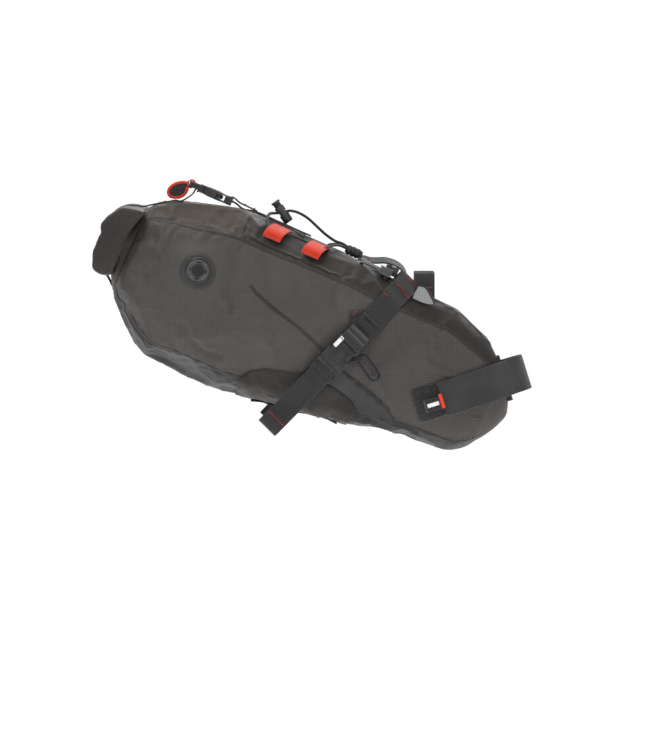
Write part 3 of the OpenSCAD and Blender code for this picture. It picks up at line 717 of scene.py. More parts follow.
def wrinkles(points, us, ths):
    """How far each point moves along its normal, in millimetres: folds, slack ripples and pinched seams."""
    u = np.broadcast_to(us[:, None], points.shape[:2])
    th = np.broadcast_to(ths[None, :], points.shape[:2])
    w = points[..., 0] * S + points[..., 2] * C
    side = np.clip((np.abs(points[..., 1]) - 14) / 18, 0, 1)
    move = np.zeros(u.shape)
    for path, depth, width in FOLDS:
        move += depth * bell(gap_to(u, w, path), width) * side
    # Slack ripples: stretched noise that runs down the sides, and across the top and bottom.
    flat = points.reshape(-1, 3)
    soft = np.array([noise.noise(Vector((a * 0.022 + c * 0.014, b * 0.012, c * 0.008 + 7))) for a, b,
                     c in flat])
    fine = np.array([noise.noise(Vector((a * 0.06 + c * 0.045, b * 0.025 + 3, c * 0.022 - a * 0.012))) for a,
                     b, c in flat])
    crisp = 1 - np.abs(np.array([noise.noise(Vector((a * 0.035 - c * 0.03, b * 0.02 + 31, c * 0.02))) for a,
                                 b, c in flat])) * 2
    move += (1.5 * soft + 0.55 * fine + 0.9 * (np.clip(crisp, 0, 1) ** 6 - 0.2)).reshape(u.shape)
    # Gathers along the welded seams, fading away from them.
    for a in (SEAM_UP, SEAM_LOW, 360 - SEAM_LOW, 360 - SEAM_UP):
        away = np.abs((th - a + 180) % 360 - 180)
        gather = np.sin(u * 0.42 + 1.7 * np.sin(u * 0.11) + a) * 0.28
        move += gather * bell(away, 6.0) - 1.1 * bell(away, 1.6)
    # The mouth is gathered towards the roll.
    mouth = np.clip((-404 - u) / 30, 0, 1)
    move += mouth * 1.1 * np.sin(th * math.pi / 180 * 15 + 2 * np.sin(th * 0.07))
    # The straps press in, and the fabric swells beside them.
    rel = points - np.array(STRAP_ORIGIN)
    s = rel @ np.array(STRAP_DOWN)
    t = rel @ np.array(STRAP_ACROSS)
    along = np.clip((s + 96) / 20, 0, 1) * np.clip((92 - s) / 16, 0, 1) * side
    pressed = np.clip(1 - (np.abs(t) / 15) ** 4, 0, 1)
    beside = bell(np.abs(t) - 24, 8)
    move = move * (1 - 0.85 * along * bell(t, 22)) + along * (-1.3 * pressed + 1.5 * beside)
    # The top stays flat under the hardware, and the post strap holds the nose.
    spine = bell(points[..., 1], 26) * np.clip((w - 10) / 20, 0, 1) * np.clip((u + 410) / 10, 0, 1)
    nose = np.clip((u + 112) / 16, 0, 1)
    move = move * (1 - 0.85 * spine) * (1 - 0.6 * nose)
    move = move * (1 - near_valve(u, w) * (points[..., 1] < 0))
    ends = np.clip((10 - u) / 12, 0, 1) * np.clip((u + 434) / 6, 0, 1)
    return move * ends


def free_of_post(points, radius=15.7):
    """Dents the nose round the seatpost."""
    c, s = math.cos(POST_LEAN), math.sin(POST_LEAN)
    x = points[..., 0] * c + points[..., 2] * s
    z = -points[..., 0] * s + points[..., 2] * c
    y = points[..., 1]
    limit = -np.sqrt(np.maximum(radius ** 2 - y ** 2, 0))
    x = np.where((np.abs(y) < radius) & (x > limit), limit, x)
    return np.stack([x * c - z * s, y, x * s + z * c], axis=-1)


def near_valve(u, w):
    """1 on the flat disc round the air valve, fading to 0."""
    return np.clip((40 - np.hypot(u - VALVE[0], w - VALVE[1])) / 18, 0, 1)


def body_grid():
    coarse = section(US[:, None], THS[None, :])
    moved = inflated(coarse)
    n = normals(coarse)
    out = (moved * n).sum(-1)
    slide = moved - out[..., None] * n
    # How far the cloth may swell: little under buckles and hardware, more on the open sides.
    u = US[:, None] + 0 * out
    y = coarse[..., 1]
    w = coarse[..., 0] * S + coarse[..., 2] * C
    rel = coarse - np.array(STRAP_ORIGIN)
    t = np.abs(rel @ np.array(STRAP_ACROSS))
    free = np.clip((t - 14) / 30, 0, 1)
    top = np.clip((np.abs(y) - 20) / 25, 0, 1) + np.clip((-w) / 30, 0, 1)
    limit = 1.0 + 5.5 * free * np.clip(top, 0, 1) * np.clip((-60 - u) / 60, 0, 1)
    limit = limit * (1 - 0.92 * near_valve(u, w))
    out = limit * np.tanh(out / limit)
    size = np.maximum(np.linalg.norm(slide, axis=-1, keepdims=True), 1e-6)
    slide *= np.minimum(1, 1.5 / size)
    points = coarse + n * out[..., None] + slide
    us, ths = finer(US, False), finer(np.unwrap(THS, period=360), False)
    ths = np.append(ths, (THS[-1] + 360 + THS[0]) / 2)
    points = finer(points, False)
    points = np.swapaxes(finer(np.swapaxes(points, 0, 1), True), 0, 1)
    points = points + normals(points) * wrinkles(points, us, ths)[..., None]
    points = free_of_post(points)
    return us, ths, points


U_FINE, TH_FINE, BODY = body_grid()
BODY_N = normals(BODY)
TH_LOOP = np.append(TH_FINE, TH_FINE[0] + 360)


def surf(u, th, off=0.0):
    """A point on the visible skin, in millimetres, lifted off it along its normal."""
    th = (th - TH_LOOP[0]) % 360 + TH_LOOP[0]
    i = min(max(float(np.interp(u, U_FINE, np.arange(len(U_FINE)))), 0), len(U_FINE) - 1.001)
    k = float(np.interp(th, TH_LOOP, np.arange(len(TH_LOOP))))
    i0, k0 = int(i), int(k) % len(TH_FINE)
    fi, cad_, k1 = i - i0, k - int(k), (int(k) + 1) % len(TH_FINE)
    p = ((BODY[i0, k0] * (1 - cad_) + BODY[i0, k1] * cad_) * (1 - fi)
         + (BODY[i0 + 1, k0] * (1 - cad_) + BODY[i0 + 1, k1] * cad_) * fi)
    n = BODY_N[i0, k0] * (1 - fi) + BODY_N[i0 + 1, k0] * fi
    return Vector(p + n / np.linalg.norm(n) * off)


def angle(u, w):
    """The angle round the section at which the right side reaches height w."""
    t, b = np.interp(u, *T_CURVE), np.interp(u, *B_CURVE)
    r = max(-1.0, min(1.0, (w - (t + b) / 2) / ((t - b) / 2)))
    return math.degrees(math.acos(math.copysign(abs(r) ** (ROUNDNESS / 2), r)))


def side(u, w, off=0.0, left=False):
    th = angle(u, w)
    return surf(u, 360 - th if left else th, off)


def panel(name, keep, material, *nodes, thick=1.0):
    nu, nt = BODY.shape[:2]
    th_mid = (TH_FINE + np.append(TH_FINE[1:], TH_FINE[0] + 360)) / 2
    faces = [(i * nt + k, i * nt + (k + 1) % nt, (i + 1) * nt + (k + 1) % nt, (i + 1) * nt + k)
             for i in range(nu - 1) for k in range(nt)
             if keep((U_FINE[i] + U_FINE[i + 1]) / 2, th_mid[k] % 360)]
    used = sorted({v for f in faces for v in f})
    number = {v: j for j, v in enumerate(used)}
    flat = BODY.reshape(-1, 3)
    o = add(name, [Vector(flat[v]) * MM for v in used], [tuple(number[v] for v in f) for f in faces],
            material)
    bm = bmesh.new()
    bm.from_mesh(o.data)
    n = Vector(BODY_N.reshape(-1, 3)[used[len(used) // 2]])
    v = sorted(bm.verts, key=lambda q: q.index)[len(used) // 2]
    if v.link_faces and v.link_faces[0].normal.dot(n) < 0:
        bmesh.ops.reverse_faces(bm, faces=bm.faces)
    bm.to_mesh(o.data)
    bm.free()
    modifier(o, "SOLIDIFY", thickness=thick * MM, offset=-1)
    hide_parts(*nodes)
    return o


def body_panels():
    up, low = SEAM_UP, SEAM_LOW
    top = lambda th: th < up or th > 360 - up
    panel("side_fabric_right", lambda u, th: up < th < low, "ripstop", "side_panel_right")
    panel("side_fabric_left", lambda u, th: 360 - low < th < 360 - up, "ripstop", "side_panel_left")
    panel("rear_top_fabric", lambda u, th: top(th) and u < YOKE_U, "coated", "rear_top_panel")
    panel("yoke_fabric", lambda u, th: top(th) and u > YOKE_U, "yoke", "top_yoke")
    panel("bottom_fabric", lambda u, th: low < th < 360 - low and u < NOSE_U, "under", "bottom_panel")
    panel("nose_fabric", lambda u, th: low < th < 360 - low and u > NOSE_U, "plain", "nose_panel")


body_panels()


# ---------------------------------------------------------------- sewn and welded pieces on the skin
def patch(name, outline, place, off, thick, material, spacing=3.0, *nodes, body="bag"):
    """A piece of cloth or film that lies on a surface: a flat outline (a, b) mapped by place(a, b, off)."""
    ring = []
    for (x1, y1), (x2, y2) in zip(outline, outline[1:] + outline[:1]):
        count = max(1, int(math.hypot(x2 - x1, y2 - y1) / spacing))
        ring += [Vector((x1 + (x2 - x1) * k / count, y1 + (y2 - y1) * k / count)) for k in range(count)]
    lo = [min(p[i] for p in outline) for i in (0, 1)]
    hi = [max(p[i] for p in outline) for i in (0, 1)]
    fill = []
    for i in range(int((hi[0] - lo[0]) / spacing) + 1):
        for k in range(int((hi[1] - lo[1]) / spacing) + 1):
            p = Vector((lo[0] + (i + 0.5) * spacing, lo[1] + (k + 0.5) * spacing))
            if inside(p, outline) and min((p - q).length for q in ring) > spacing * 0.6:
                fill.append(p)
    points = ring + fill
    edges = [(i, (i + 1) % len(ring)) for i in range(len(ring))]
    co, _, tris, _, _, _ = delaunay_2d_cdt(points, edges, [], 1, 1e-6)
    edge_set = {(round(p.x, 3), round(p.y, 3)) for p in ring}
    verts, uvs = [], []
    for p in co:
        rim = (round(p[0], 3), round(p[1], 3)) in edge_set
        verts.append(place(p[0], p[1], off - (0.35 * thick if rim else 0)) * MM)
        uvs.append((p[0] * MM, p[1] * MM))
    o = add(name, verts, [tuple(t) for t in tris], material, body, uvs)
    up = place(co[0][0], co[0][1], off + 1) - place(co[0][0], co[0][1], off)
    if o.data.polygons[0].normal.dot(up) < 0:
        o.data.flip_normals()
    modifier(o, "SOLIDIFY", thickness=thick * MM, offset=-1)
    if nodes:
        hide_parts(*nodes)
    return o


def stitches(name, points, normal, material="black_thread", length=2.3, gap=1.1, thick=0.28, body="bag"):
    """Thread laid along a line on a surface, one bead for each stitch."""
    path = smooth_path([Vector(p) for p in points], 0.5)
    run, marks = 0.0, []
    for a, b in zip(path, path[1:]):
        step = (b - a).length
        marks.append((run, a))
        run += step
    marks.append((run, path[-1]))
    verts, faces = [], []

    def at(d):
        for (r1, p1), (r2, p2) in zip(marks, marks[1:]):
            if r2 >= d:
                f = (d - r1) / max(r2 - r1, 1e-9)
                return p1 + (p2 - p1) * f
        return marks[-1][1]

    d = gap
    while d + length < run:
        a, b = at(d), at(d + length)
        mid = (a + b) / 2
        n = normal(mid) if callable(normal) else Vector(normal)
        n.normalize()
        t = (b - a).normalized()
        s_ = n.cross(t).normalized()
        base = len(verts)
        rings = [(0.0, -0.15, 0.45), (0.25, 0.28, 1.0), (0.75, 0.28, 1.0), (1.0, -0.15, 0.45)]
        for f, lift, r in rings:
            c = a + (b - a) * f + n * lift * thick * 2
            for k in range(6):
                q = 2 * math.pi * k / 6
                verts.append((c + (s_ * math.cos(q) + n * math.sin(q)) * thick * r) * MM)
        for i in range(3):
            faces += [(base + i * 6 + k, base + i * 6 + (k + 1) % 6, base + (i + 1) * 6 + (k + 1) % 6,
                       base + (i + 1) * 6 + k) for k in range(6)]
        faces += [tuple(base + k for k in range(5, -1, -1)), tuple(base + 18 + k for k in range(6))]
        d += length + gap
    return add(name, verts, faces, material, body)


def bartack(name, centre, along, normal, width, height, material="thread", body="bag"):
    """A dense bar of zigzag stitching."""
    a, n = Vector(along).normalized(), Vector(normal).normalized()
    b = n.cross(a).normalized()
    count = max(5, int(width / 0.45))
    points = []
    for k in range(count + 1):
        x = -width / 2 + width * k / count
        y = height * 0.28 * (1 if k % 2 else -1)
        points.append(Vector(centre) + a * x + b * y + n * 0.25)
    return tube(name, points, 0.36, material, body, sides=6, step=50, smooth=False)


def strip(name, th, u0, u1, half, off, thick, material, *nodes):
    """A welded tape that follows a seam at th degrees, given in both mirror images."""
    made = []
    for sign, sheet_name in ((1, name + "_right"), (-1, name + "_left")):
        rows = np.arange(u0, u1 + 0.1, 3.0)
        verts, uvs, faces = [], [], []
        for i, u in enumerate(rows):
            for k, (d, lift) in enumerate(((-half, 0.1), (-half * 0.82, off), (0, off * 1.15),
                                           (half * 0.82, off), (half, 0.1))):
                ang = (th(u) if callable(th) else th) + d
                verts.append(surf(u, ang if sign > 0 else 360 - ang, lift) * MM)
                uvs.append((u * MM, d * MM))
        for i in range(len(rows) - 1):
            for k in range(4):
                q = (i * 5 + k, i * 5 + k + 1, (i + 1) * 5 + k + 1, (i + 1) * 5 + k)
                faces.append(q if sign > 0 else q[::-1])
        o = add(sheet_name, verts, faces, material, uvs=uvs)
        lift = surf(rows[0], (th(rows[0]) if callable(th) else th) * sign, 1) - surf(rows[0],
                (th(rows[0]) if callable(th) else th) * sign, 0)
        if o.data.polygons[1].normal.dot(lift) < 0:
            o.data.flip_normals()
        modifier(o, "SOLIDIFY", thickness=thick * MM, offset=-1)
        made.append(o)
    if nodes:
        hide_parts(*nodes)
    return made


def band(path, half):
    """A closed outline of constant width round a polyline."""
    out, back = [], []
    for i, p in enumerate(path):
        a, b = Vector(path[max(i - 1, 0)]), Vector(path[min(i + 1, len(path) - 1)])
        d = (b - a).normalized()
        n = Vector((-d.y, d.x)) * half
        out.append((p[0] + n.x, p[1] + n.y))
        back.append((p[0] - n.x, p[1] - n.y))
    return out + back[::-1]


DIAGONAL = [(-300, -22), (-290, -28), (-252, -41), (-215, -53), (-171, -71), (-125, -84), (-108, -89)]
PATCH = [(-272, -124), (-262, -110), (-248, -102), (-232, -96), (-213, -90), (-198, -88.4), (-184, -88),
         (-172, -90),
         (-162, -92), (-148, -97), (-140, -104), (-137, -110), (-138, -116), (-145, -120)]


def skin_details():
    strip("upper_weld", SEAM_UP + 0.5, -432, -14, 2.2, 0.5, 0.5, "tape", "seam_tapes")
    strip("lower_weld", SEAM_LOW - 0.5, -430, -20, 2.0, 0.5, 0.5, "tape")
    for left in (False, True):
        tag = "left" if left else "right"
        on = lambda a, b, off: side(a, b, off, left)
        patch(f"diagonal_weld_{tag}", band(DIAGONAL, 1.7), on, 0.5, 0.5, "tape", 3.0)
        # Plain reinforced cloth below the diagonal seam.
        lower = [(-183, -66)] + DIAGONAL[-3:] + [(-96, -98), (-112, -104), (-150, -106), (-200, -112),
                                                 (-204, -92)]
        patch(f"reinforced_side_{tag}", lower, on, 0.55, 0.5, "plain", 4.0)
        n_at = lambda p: (Vector((0, 1, 0)) if left else Vector((0, -1, 0)))
        stitches(f"diagonal_stitching_{tag}", [side(a, b + 1.6, 0.85, left) for a, b in DIAGONAL[1:]], n_at)
        # Scuff patch and its stitching.
        patch(f"scuff_side_{tag}", PATCH + [(-170, -126), (-202, -133), (-256, -139), (-268, -136)], on, 1.7,
              1.4,
              "scuff", 3.0, *([] if left else ["belly_patch"]))
        inset = [(a, b - 3.2) for a, b in PATCH[1:-2]]
        stitches(f"scuff_stitching_{tag}", [side(a, b, 1.75, left) for a, b in inset], n_at)
        stitches(f"scuff_stitching_b_{tag}", [side(a, b - 2.4, 1.75, left) for a, b in inset[1:-1]], n_at)


def belly():
    """The scuff patch under the bag joins its two sides, with webbing down the middle."""
    rows, verts, faces = np.arange(-268, -143, 4.0), [], []
    for u in rows:
        a0 = angle(u, np.interp(u, (-272, -145), (-128, -113)))
        for k in range(25):
            verts.append(surf(u, a0 + (360 - 2 * a0) * k / 24, 1.6) * MM)
    for i in range(len(rows) - 1):
        faces += [(i * 25 + k, i * 25 + k + 1, (i + 1) * 25 + k + 1, (i + 1) * 25 + k) for k in range(24)]
    o = add("scuff_bottom", verts, faces, "scuff")
    if o.data.polygons[12].normal.z > 0:
        o.data.flip_normals()
    modifier(o, "SOLIDIFY", thickness=1.3 * MM, offset=-1)
    w = ribbon("belly_tape", [surf(u, 180, 2.9) for u in np.arange(-250, -149, 8)], (0, 1, 0), 24, 1.6)
    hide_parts("belly_webbing")
    for y, tag in ((-9.5, "a"), (9.5, "b")):
        for u in (-246, -222, -198, -176, -156):
            bartack(f"belly_bartack_{tag}_{-u}", surf(u, 180 + y * 0.9, 3.8), (0, 1, 0), (0, 0, -1), 6, 2.2,
                    "black_thread")


def bottom_lining():
    """The stiffener lies against the inside of the bottom fabric."""
    rows, cols = np.arange(-388, -84, 6.0), np.linspace(156, 204, 15)
    verts = [surf(u, th, -1.6) * MM for u in rows for th in cols]
    n = len(cols)
    faces = [(i * n + k, i * n + k + 1, (i + 1) * n + k + 1,
              (i + 1) * n + k) for i in range(len(rows) - 1) for k in range(n - 1)]
    o = add("bottom_lining", verts, faces, "sheet")
    if o.data.polygons[0].normal.z > 0:
        o.data.flip_normals()
    modifier(o, "SOLIDIFY", thickness=1.2 * MM, offset=-1)
    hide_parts("bottom_stiffener")


skin_details()
belly()
bottom_lining()


# ---------------------------------------------------------------- rolled mouth
ROLL_W, ROLL_HALF = -38, 88


def mouth():
    """The fabric closes from the bag's open end down to the flat roll, in pleats."""
    nt, rings = BODY.shape[1], 12
    verts = []
    for r in range(rings + 1):
        f = r / rings
        for k in range(nt):
            th = math.radians(TH_FINE[k])
            y = -74 * math.copysign(abs(math.sin(th)) ** 0.8, math.sin(th))
            w = ROLL_W + 3 * math.copysign(abs(math.cos(th)) ** 0.8, math.cos(th))
            end = bag(-447, y, w)
            start = Vector(BODY[0, k])
            p = start.lerp(end, f)
            swell = math.sin(math.pi * f)
            pleat = math.sin(th * 13 + 1.3 * math.sin(3 * th)) * 1.6 + math.sin(th * 29) * 0.5
            p += bag(-1, 0, 0) * (4.0 * swell ** 0.8 + pleat * swell)
            verts.append(p * MM)
    faces = [(r * nt + k, r * nt + (k + 1) % nt, (r + 1) * nt + (k + 1) % nt, (r + 1) * nt + k)
             for r in range(rings) for k in range(nt)]
    o = add("mouth_fabric", verts, faces, "roll")
    modifier(o, "SOLIDIFY", thickness=0.9 * MM, offset=0)
    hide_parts("mouth_collar")


ROLL_EDGE = [(-436, 1), (-445, 1.5), (-459, -3), (-467, -14), (-472.5, -26), (-470, -38), (-469, -54),
             (-466, -68),
             (-461, -76.5), (-450, -79), (-442, -73), (-443, -52), (-443, -34), (-440, -14)]


def roll():
    """The mouth rolled up on its stiffener and pulled tight by the strap, creased and closed at its ends."""
    closed = [Vector((u, w, 0)) for u, w in ROLL_EDGE]
    ring = smooth_path(closed[-2:] + closed + closed[:2], 1.0)
    start = min(range(len(ring)), key=lambda i: (ring[i] - closed[0]).length)
    around, n = [], 96
    length = [0.0]
    loop = ring[start:]
    end = min(range(20, len(loop)), key=lambda i: (loop[i] - closed[0]).length)
    loop = loop[:end + 1]
    for a, b in zip(loop, loop[1:]):
        length.append(length[-1] + (b - a).length)
    for k in range(n):
        d = length[-1] * k / n
        i = max(j for j in range(len(length)) if length[j] <= d)
        f = (d - length[i]) / max(length[min(i + 1, len(loop) - 1)] - length[i], 1e-6)
        around.append(loop[i].lerp(loop[min(i + 1, len(loop) - 1)], f))
    spine = lambda p: Vector((-456, max(-62, min(-16, p.y)), 0))
    cols = 61
    verts, uvs = [], []

    def place(k, y, shrink, out):
        p = around[k]
        away = (p - spine(p))
        q = spine(p) + away * shrink
        turn = math.atan2(away.y, away.x)
        crease = 1.5 * noise.noise(Vector((y * 0.03, p.y * 0.05 + 3, math.cos(turn))))
        crease += 0.9 * noise.noise(Vector((y * 0.09 + p.y * 0.06, p.y * 0.11, 9 + math.sin(turn))))
        waist = -1.8 * math.exp(-(y / 13.0) ** 4)
        fold = -1.3 * math.exp(-((p.y + 46 + 0.10 * y) / 3.2) ** 2)
        fold += 0.9 * math.exp(-((p.y + 38 + 0.10 * y) / 4.5) ** 2)
        q = q + away.normalized() * (crease + waist + fold * (0.4 + 0.6 * (abs(y) > 15))) * shrink
        return bag(q.x, y + out, q.y) * MM

    for c in range(cols):
        y = -ROLL_HALF + 2 + (2 * ROLL_HALF - 4) * c / (cols - 1)
        tuck = max(0.0, abs(y) - 80) / 6
        for k in range(n):
            verts.append(place(k, y, 1 - 0.07 * tuck ** 2, 0))
            uvs.append((y * MM, k * 1.9 * MM))
    faces = [(c * n + k, c * n + (k + 1) % n, (c + 1) * n + (k + 1) % n, (c + 1) * n + k)
             for c in range(cols - 1) for k in range(n)]
    # Ends: the rolled layers show as a shallow spiral fold.
    for sign, c in ((-1, 0), (1, cols - 1)):
        prev, rings = c * n, 16
        for r in range(1, rings + 1):
            f = 1 - r / rings
            base = len(verts)
            for k in range(n):
                phase = (rings - r) / 5.2 + k / n
                ridge = 1.1 * abs(math.sin(math.pi * phase)) ** 0.6 * min(1, r / 3) * min(1, (rings - r) / 3)
                y = sign * (ROLL_HALF - 2)
                verts.append(place(k, y, 0.93 * f if r < rings else 0.02,
                                   sign * (ridge + 0.8 * math.sin(math.pi * (1 - f) / 2))))
                uvs.append((y * MM, k * 1.9 * MM))
            for k in range(n):
                q = (prev + k, prev + (k + 1) % n, base + (k + 1) % n, base + k)
                faces.append(q if sign > 0 else q[::-1])
            prev = base
        faces.append(tuple(prev + k for k in range(n)))
    o = outward(add("rolled_mouth", verts, faces, "roll", uvs=uvs))
    modifier(o, "SUBSURF", levels=1, render_levels=1)
    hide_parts("roll_closure", "closure_stiffener")


mouth()
roll()


# ---------------------------------------------------------------- buckles
def reflected(place):
    return Matrix.Diagonal((1, -1, 1, 1)) @ place


def lying(place):
    """Turns a buckle's frame so that outlines lie along and across it and heights run through it."""
    return place @ Matrix.Rotation(-math.pi / 2, 4, "X")


def female(name, place, body, width, node):
    flat, h = lying(place), width / 2
    slot_hole = rounded(-17.8, -h + 3.2, -14.2, h - 3.2, 1.2)
    window = [(-10.6, h - 2.9), (-9.6, h - 2.7), (-2.6, h - 2.7), (-1.4, h - 2.9)]
    right = [(-20, h - 2.5), (-19, h - 0.6), (-17.5, h), (-11.6, h - 0.2)] + window + [(-0.6, h - 0.2),
            (12, h), (13, h - 1)]
    outline = [(x, -y) for x, y in right] + right[::-1]
    parts = [
        slab(name, rounded(-20, -h, -11.2, h, 2.2), -4.3, 4.3, flat, "plastic", body, 0.6, [slot_hole]),
        slab(name + "_b", outline, 2.9, 4.5, flat, "plastic", body, 0.6, [slot_hole]),
        slab(name + "_c", outline, -4.5, -2.9, flat, "plastic", body, 0.6, [slot_hole]),
        slab(name + "_f", rounded(-6.5, -4.6, 9.5, 4.6, 3.0), -5.1, -4.3, flat, "plastic", body, 0.4),
        slab(name + "_g", rounded(-6.5, -4.6, 9.5, 4.6, 3.0), 4.3, 5.1, flat, "plastic", body, 0.4),
    ]
    for sign, tag in ((1, "d"), (-1, "e")):
        rail = [(-1.2, sign * (h - 2.3)), (13, sign * (h - 2.3)), (13, sign * (h - 0.9)), (12, sign * h),
                (-1.2, sign * h)]
        parts.append(slab(name + "_" + tag, rail, -4.4, 4.4, flat, "plastic", body, 0.5))
        for x in (-9, -6.8, -4.6, -2.4):
            ridge = rounded(x - 0.5, sign * (h - 4.6) - 1.4, x + 0.5, sign * (h - 4.6) + 1.4, 0.4, 2)
            parts.append(slab(f"{name}_r{tag}{int(-x * 10)}", ridge, -5.0, -4.3, flat, "plastic", body, 0.2))
    o = joined(name, parts)
    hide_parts(node)
    return o


def male(name, place, body, width, node):
    flat, h = lying(place), width / 2
    parts = [slab(name, rounded(13.3, -h, 18.2, h, 1.6), -4.4, 4.4, flat, "plastic", body, 0.7)]
    for sign, tag in ((1, "a"), (-1, "b")):
        arm = [(14, h - 4.2), (6, h - 4.4), (0, h - 3.6), (-2.5, h - 2.75), (-5.4, h - 2.8), (-7.4, h - 4.4),
               (-7.8, h - 6.4),
               (-5, h - 7.0), (4, h - 6.8), (14, h - 7.4)]
        parts.append(slab(name + "_" + tag, [(x, sign * y) for x, y in arm], -2.3, 2.3, flat, "plastic",
                          body, 0.5))
        rail = rounded(16.8, min(sign * (h - 2.8), sign * h), 30, max(sign * (h - 2.8), sign * h), 1.0)
        parts.append(slab(name + "_r" + tag, rail, -3, 3, flat, "plastic", body, 0.6))
    parts.append(slab(name + "_t", rounded(-9, -2, 14, 2, 1.6), -1.9, 1.9, flat, "plastic", body, 0.5))
    parts.append(slab(name + "_l", rounded(20, -h + 1, 22.6, h - 1, 0.8), -3, 0.4, flat, "plastic", body,
                      0.6))
    parts.append(slab(name + "_m", rounded(27.2, -h + 1, 30.2, h - 1, 1.1), -3.1, 3, flat, "plastic", body,
                      0.8))
    for k in range(7):
        z = -h + 4.6 + k * (width - 9.2) / 6
        tooth = rounded(27.5, z - 0.6, 30.0, z + 0.6, 0.4, 2)
        parts.append(slab(f"{name}_k{k}", tooth, -3.6, -3.0, flat, "plastic", body, 0.2))
    o = joined(name, parts)
    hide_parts(node)
    return o


lo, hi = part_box("side_buckle_female_right")
BUCKLE_Y = -(lo.y + hi.y) / 2 / MM
SIDE_PLACE = matrix(strap(0, -BUCKLE_Y, 0), STRAP_DOWN, STRAP_ACROSS)
TOP_PLACE = bag_place(-375, 0, 47.5, (-1, 0, 0), (0, 1, 0))


def skin_y(x, z, off):
    """How far out the right side of the fabric is above a point of the middle plane."""
    return side(x * C - z * S, x * S + z * C, off).y


def under(s, off, reach=12):
    """Where the side strap's centre line runs at s so that it lies on the fabric."""
    return min(skin_y(*(lambda p: (p.x, p.z))(strap(s, 0, t)), off) for t in (-reach, -reach / 2, 0,
            reach / 2, reach))


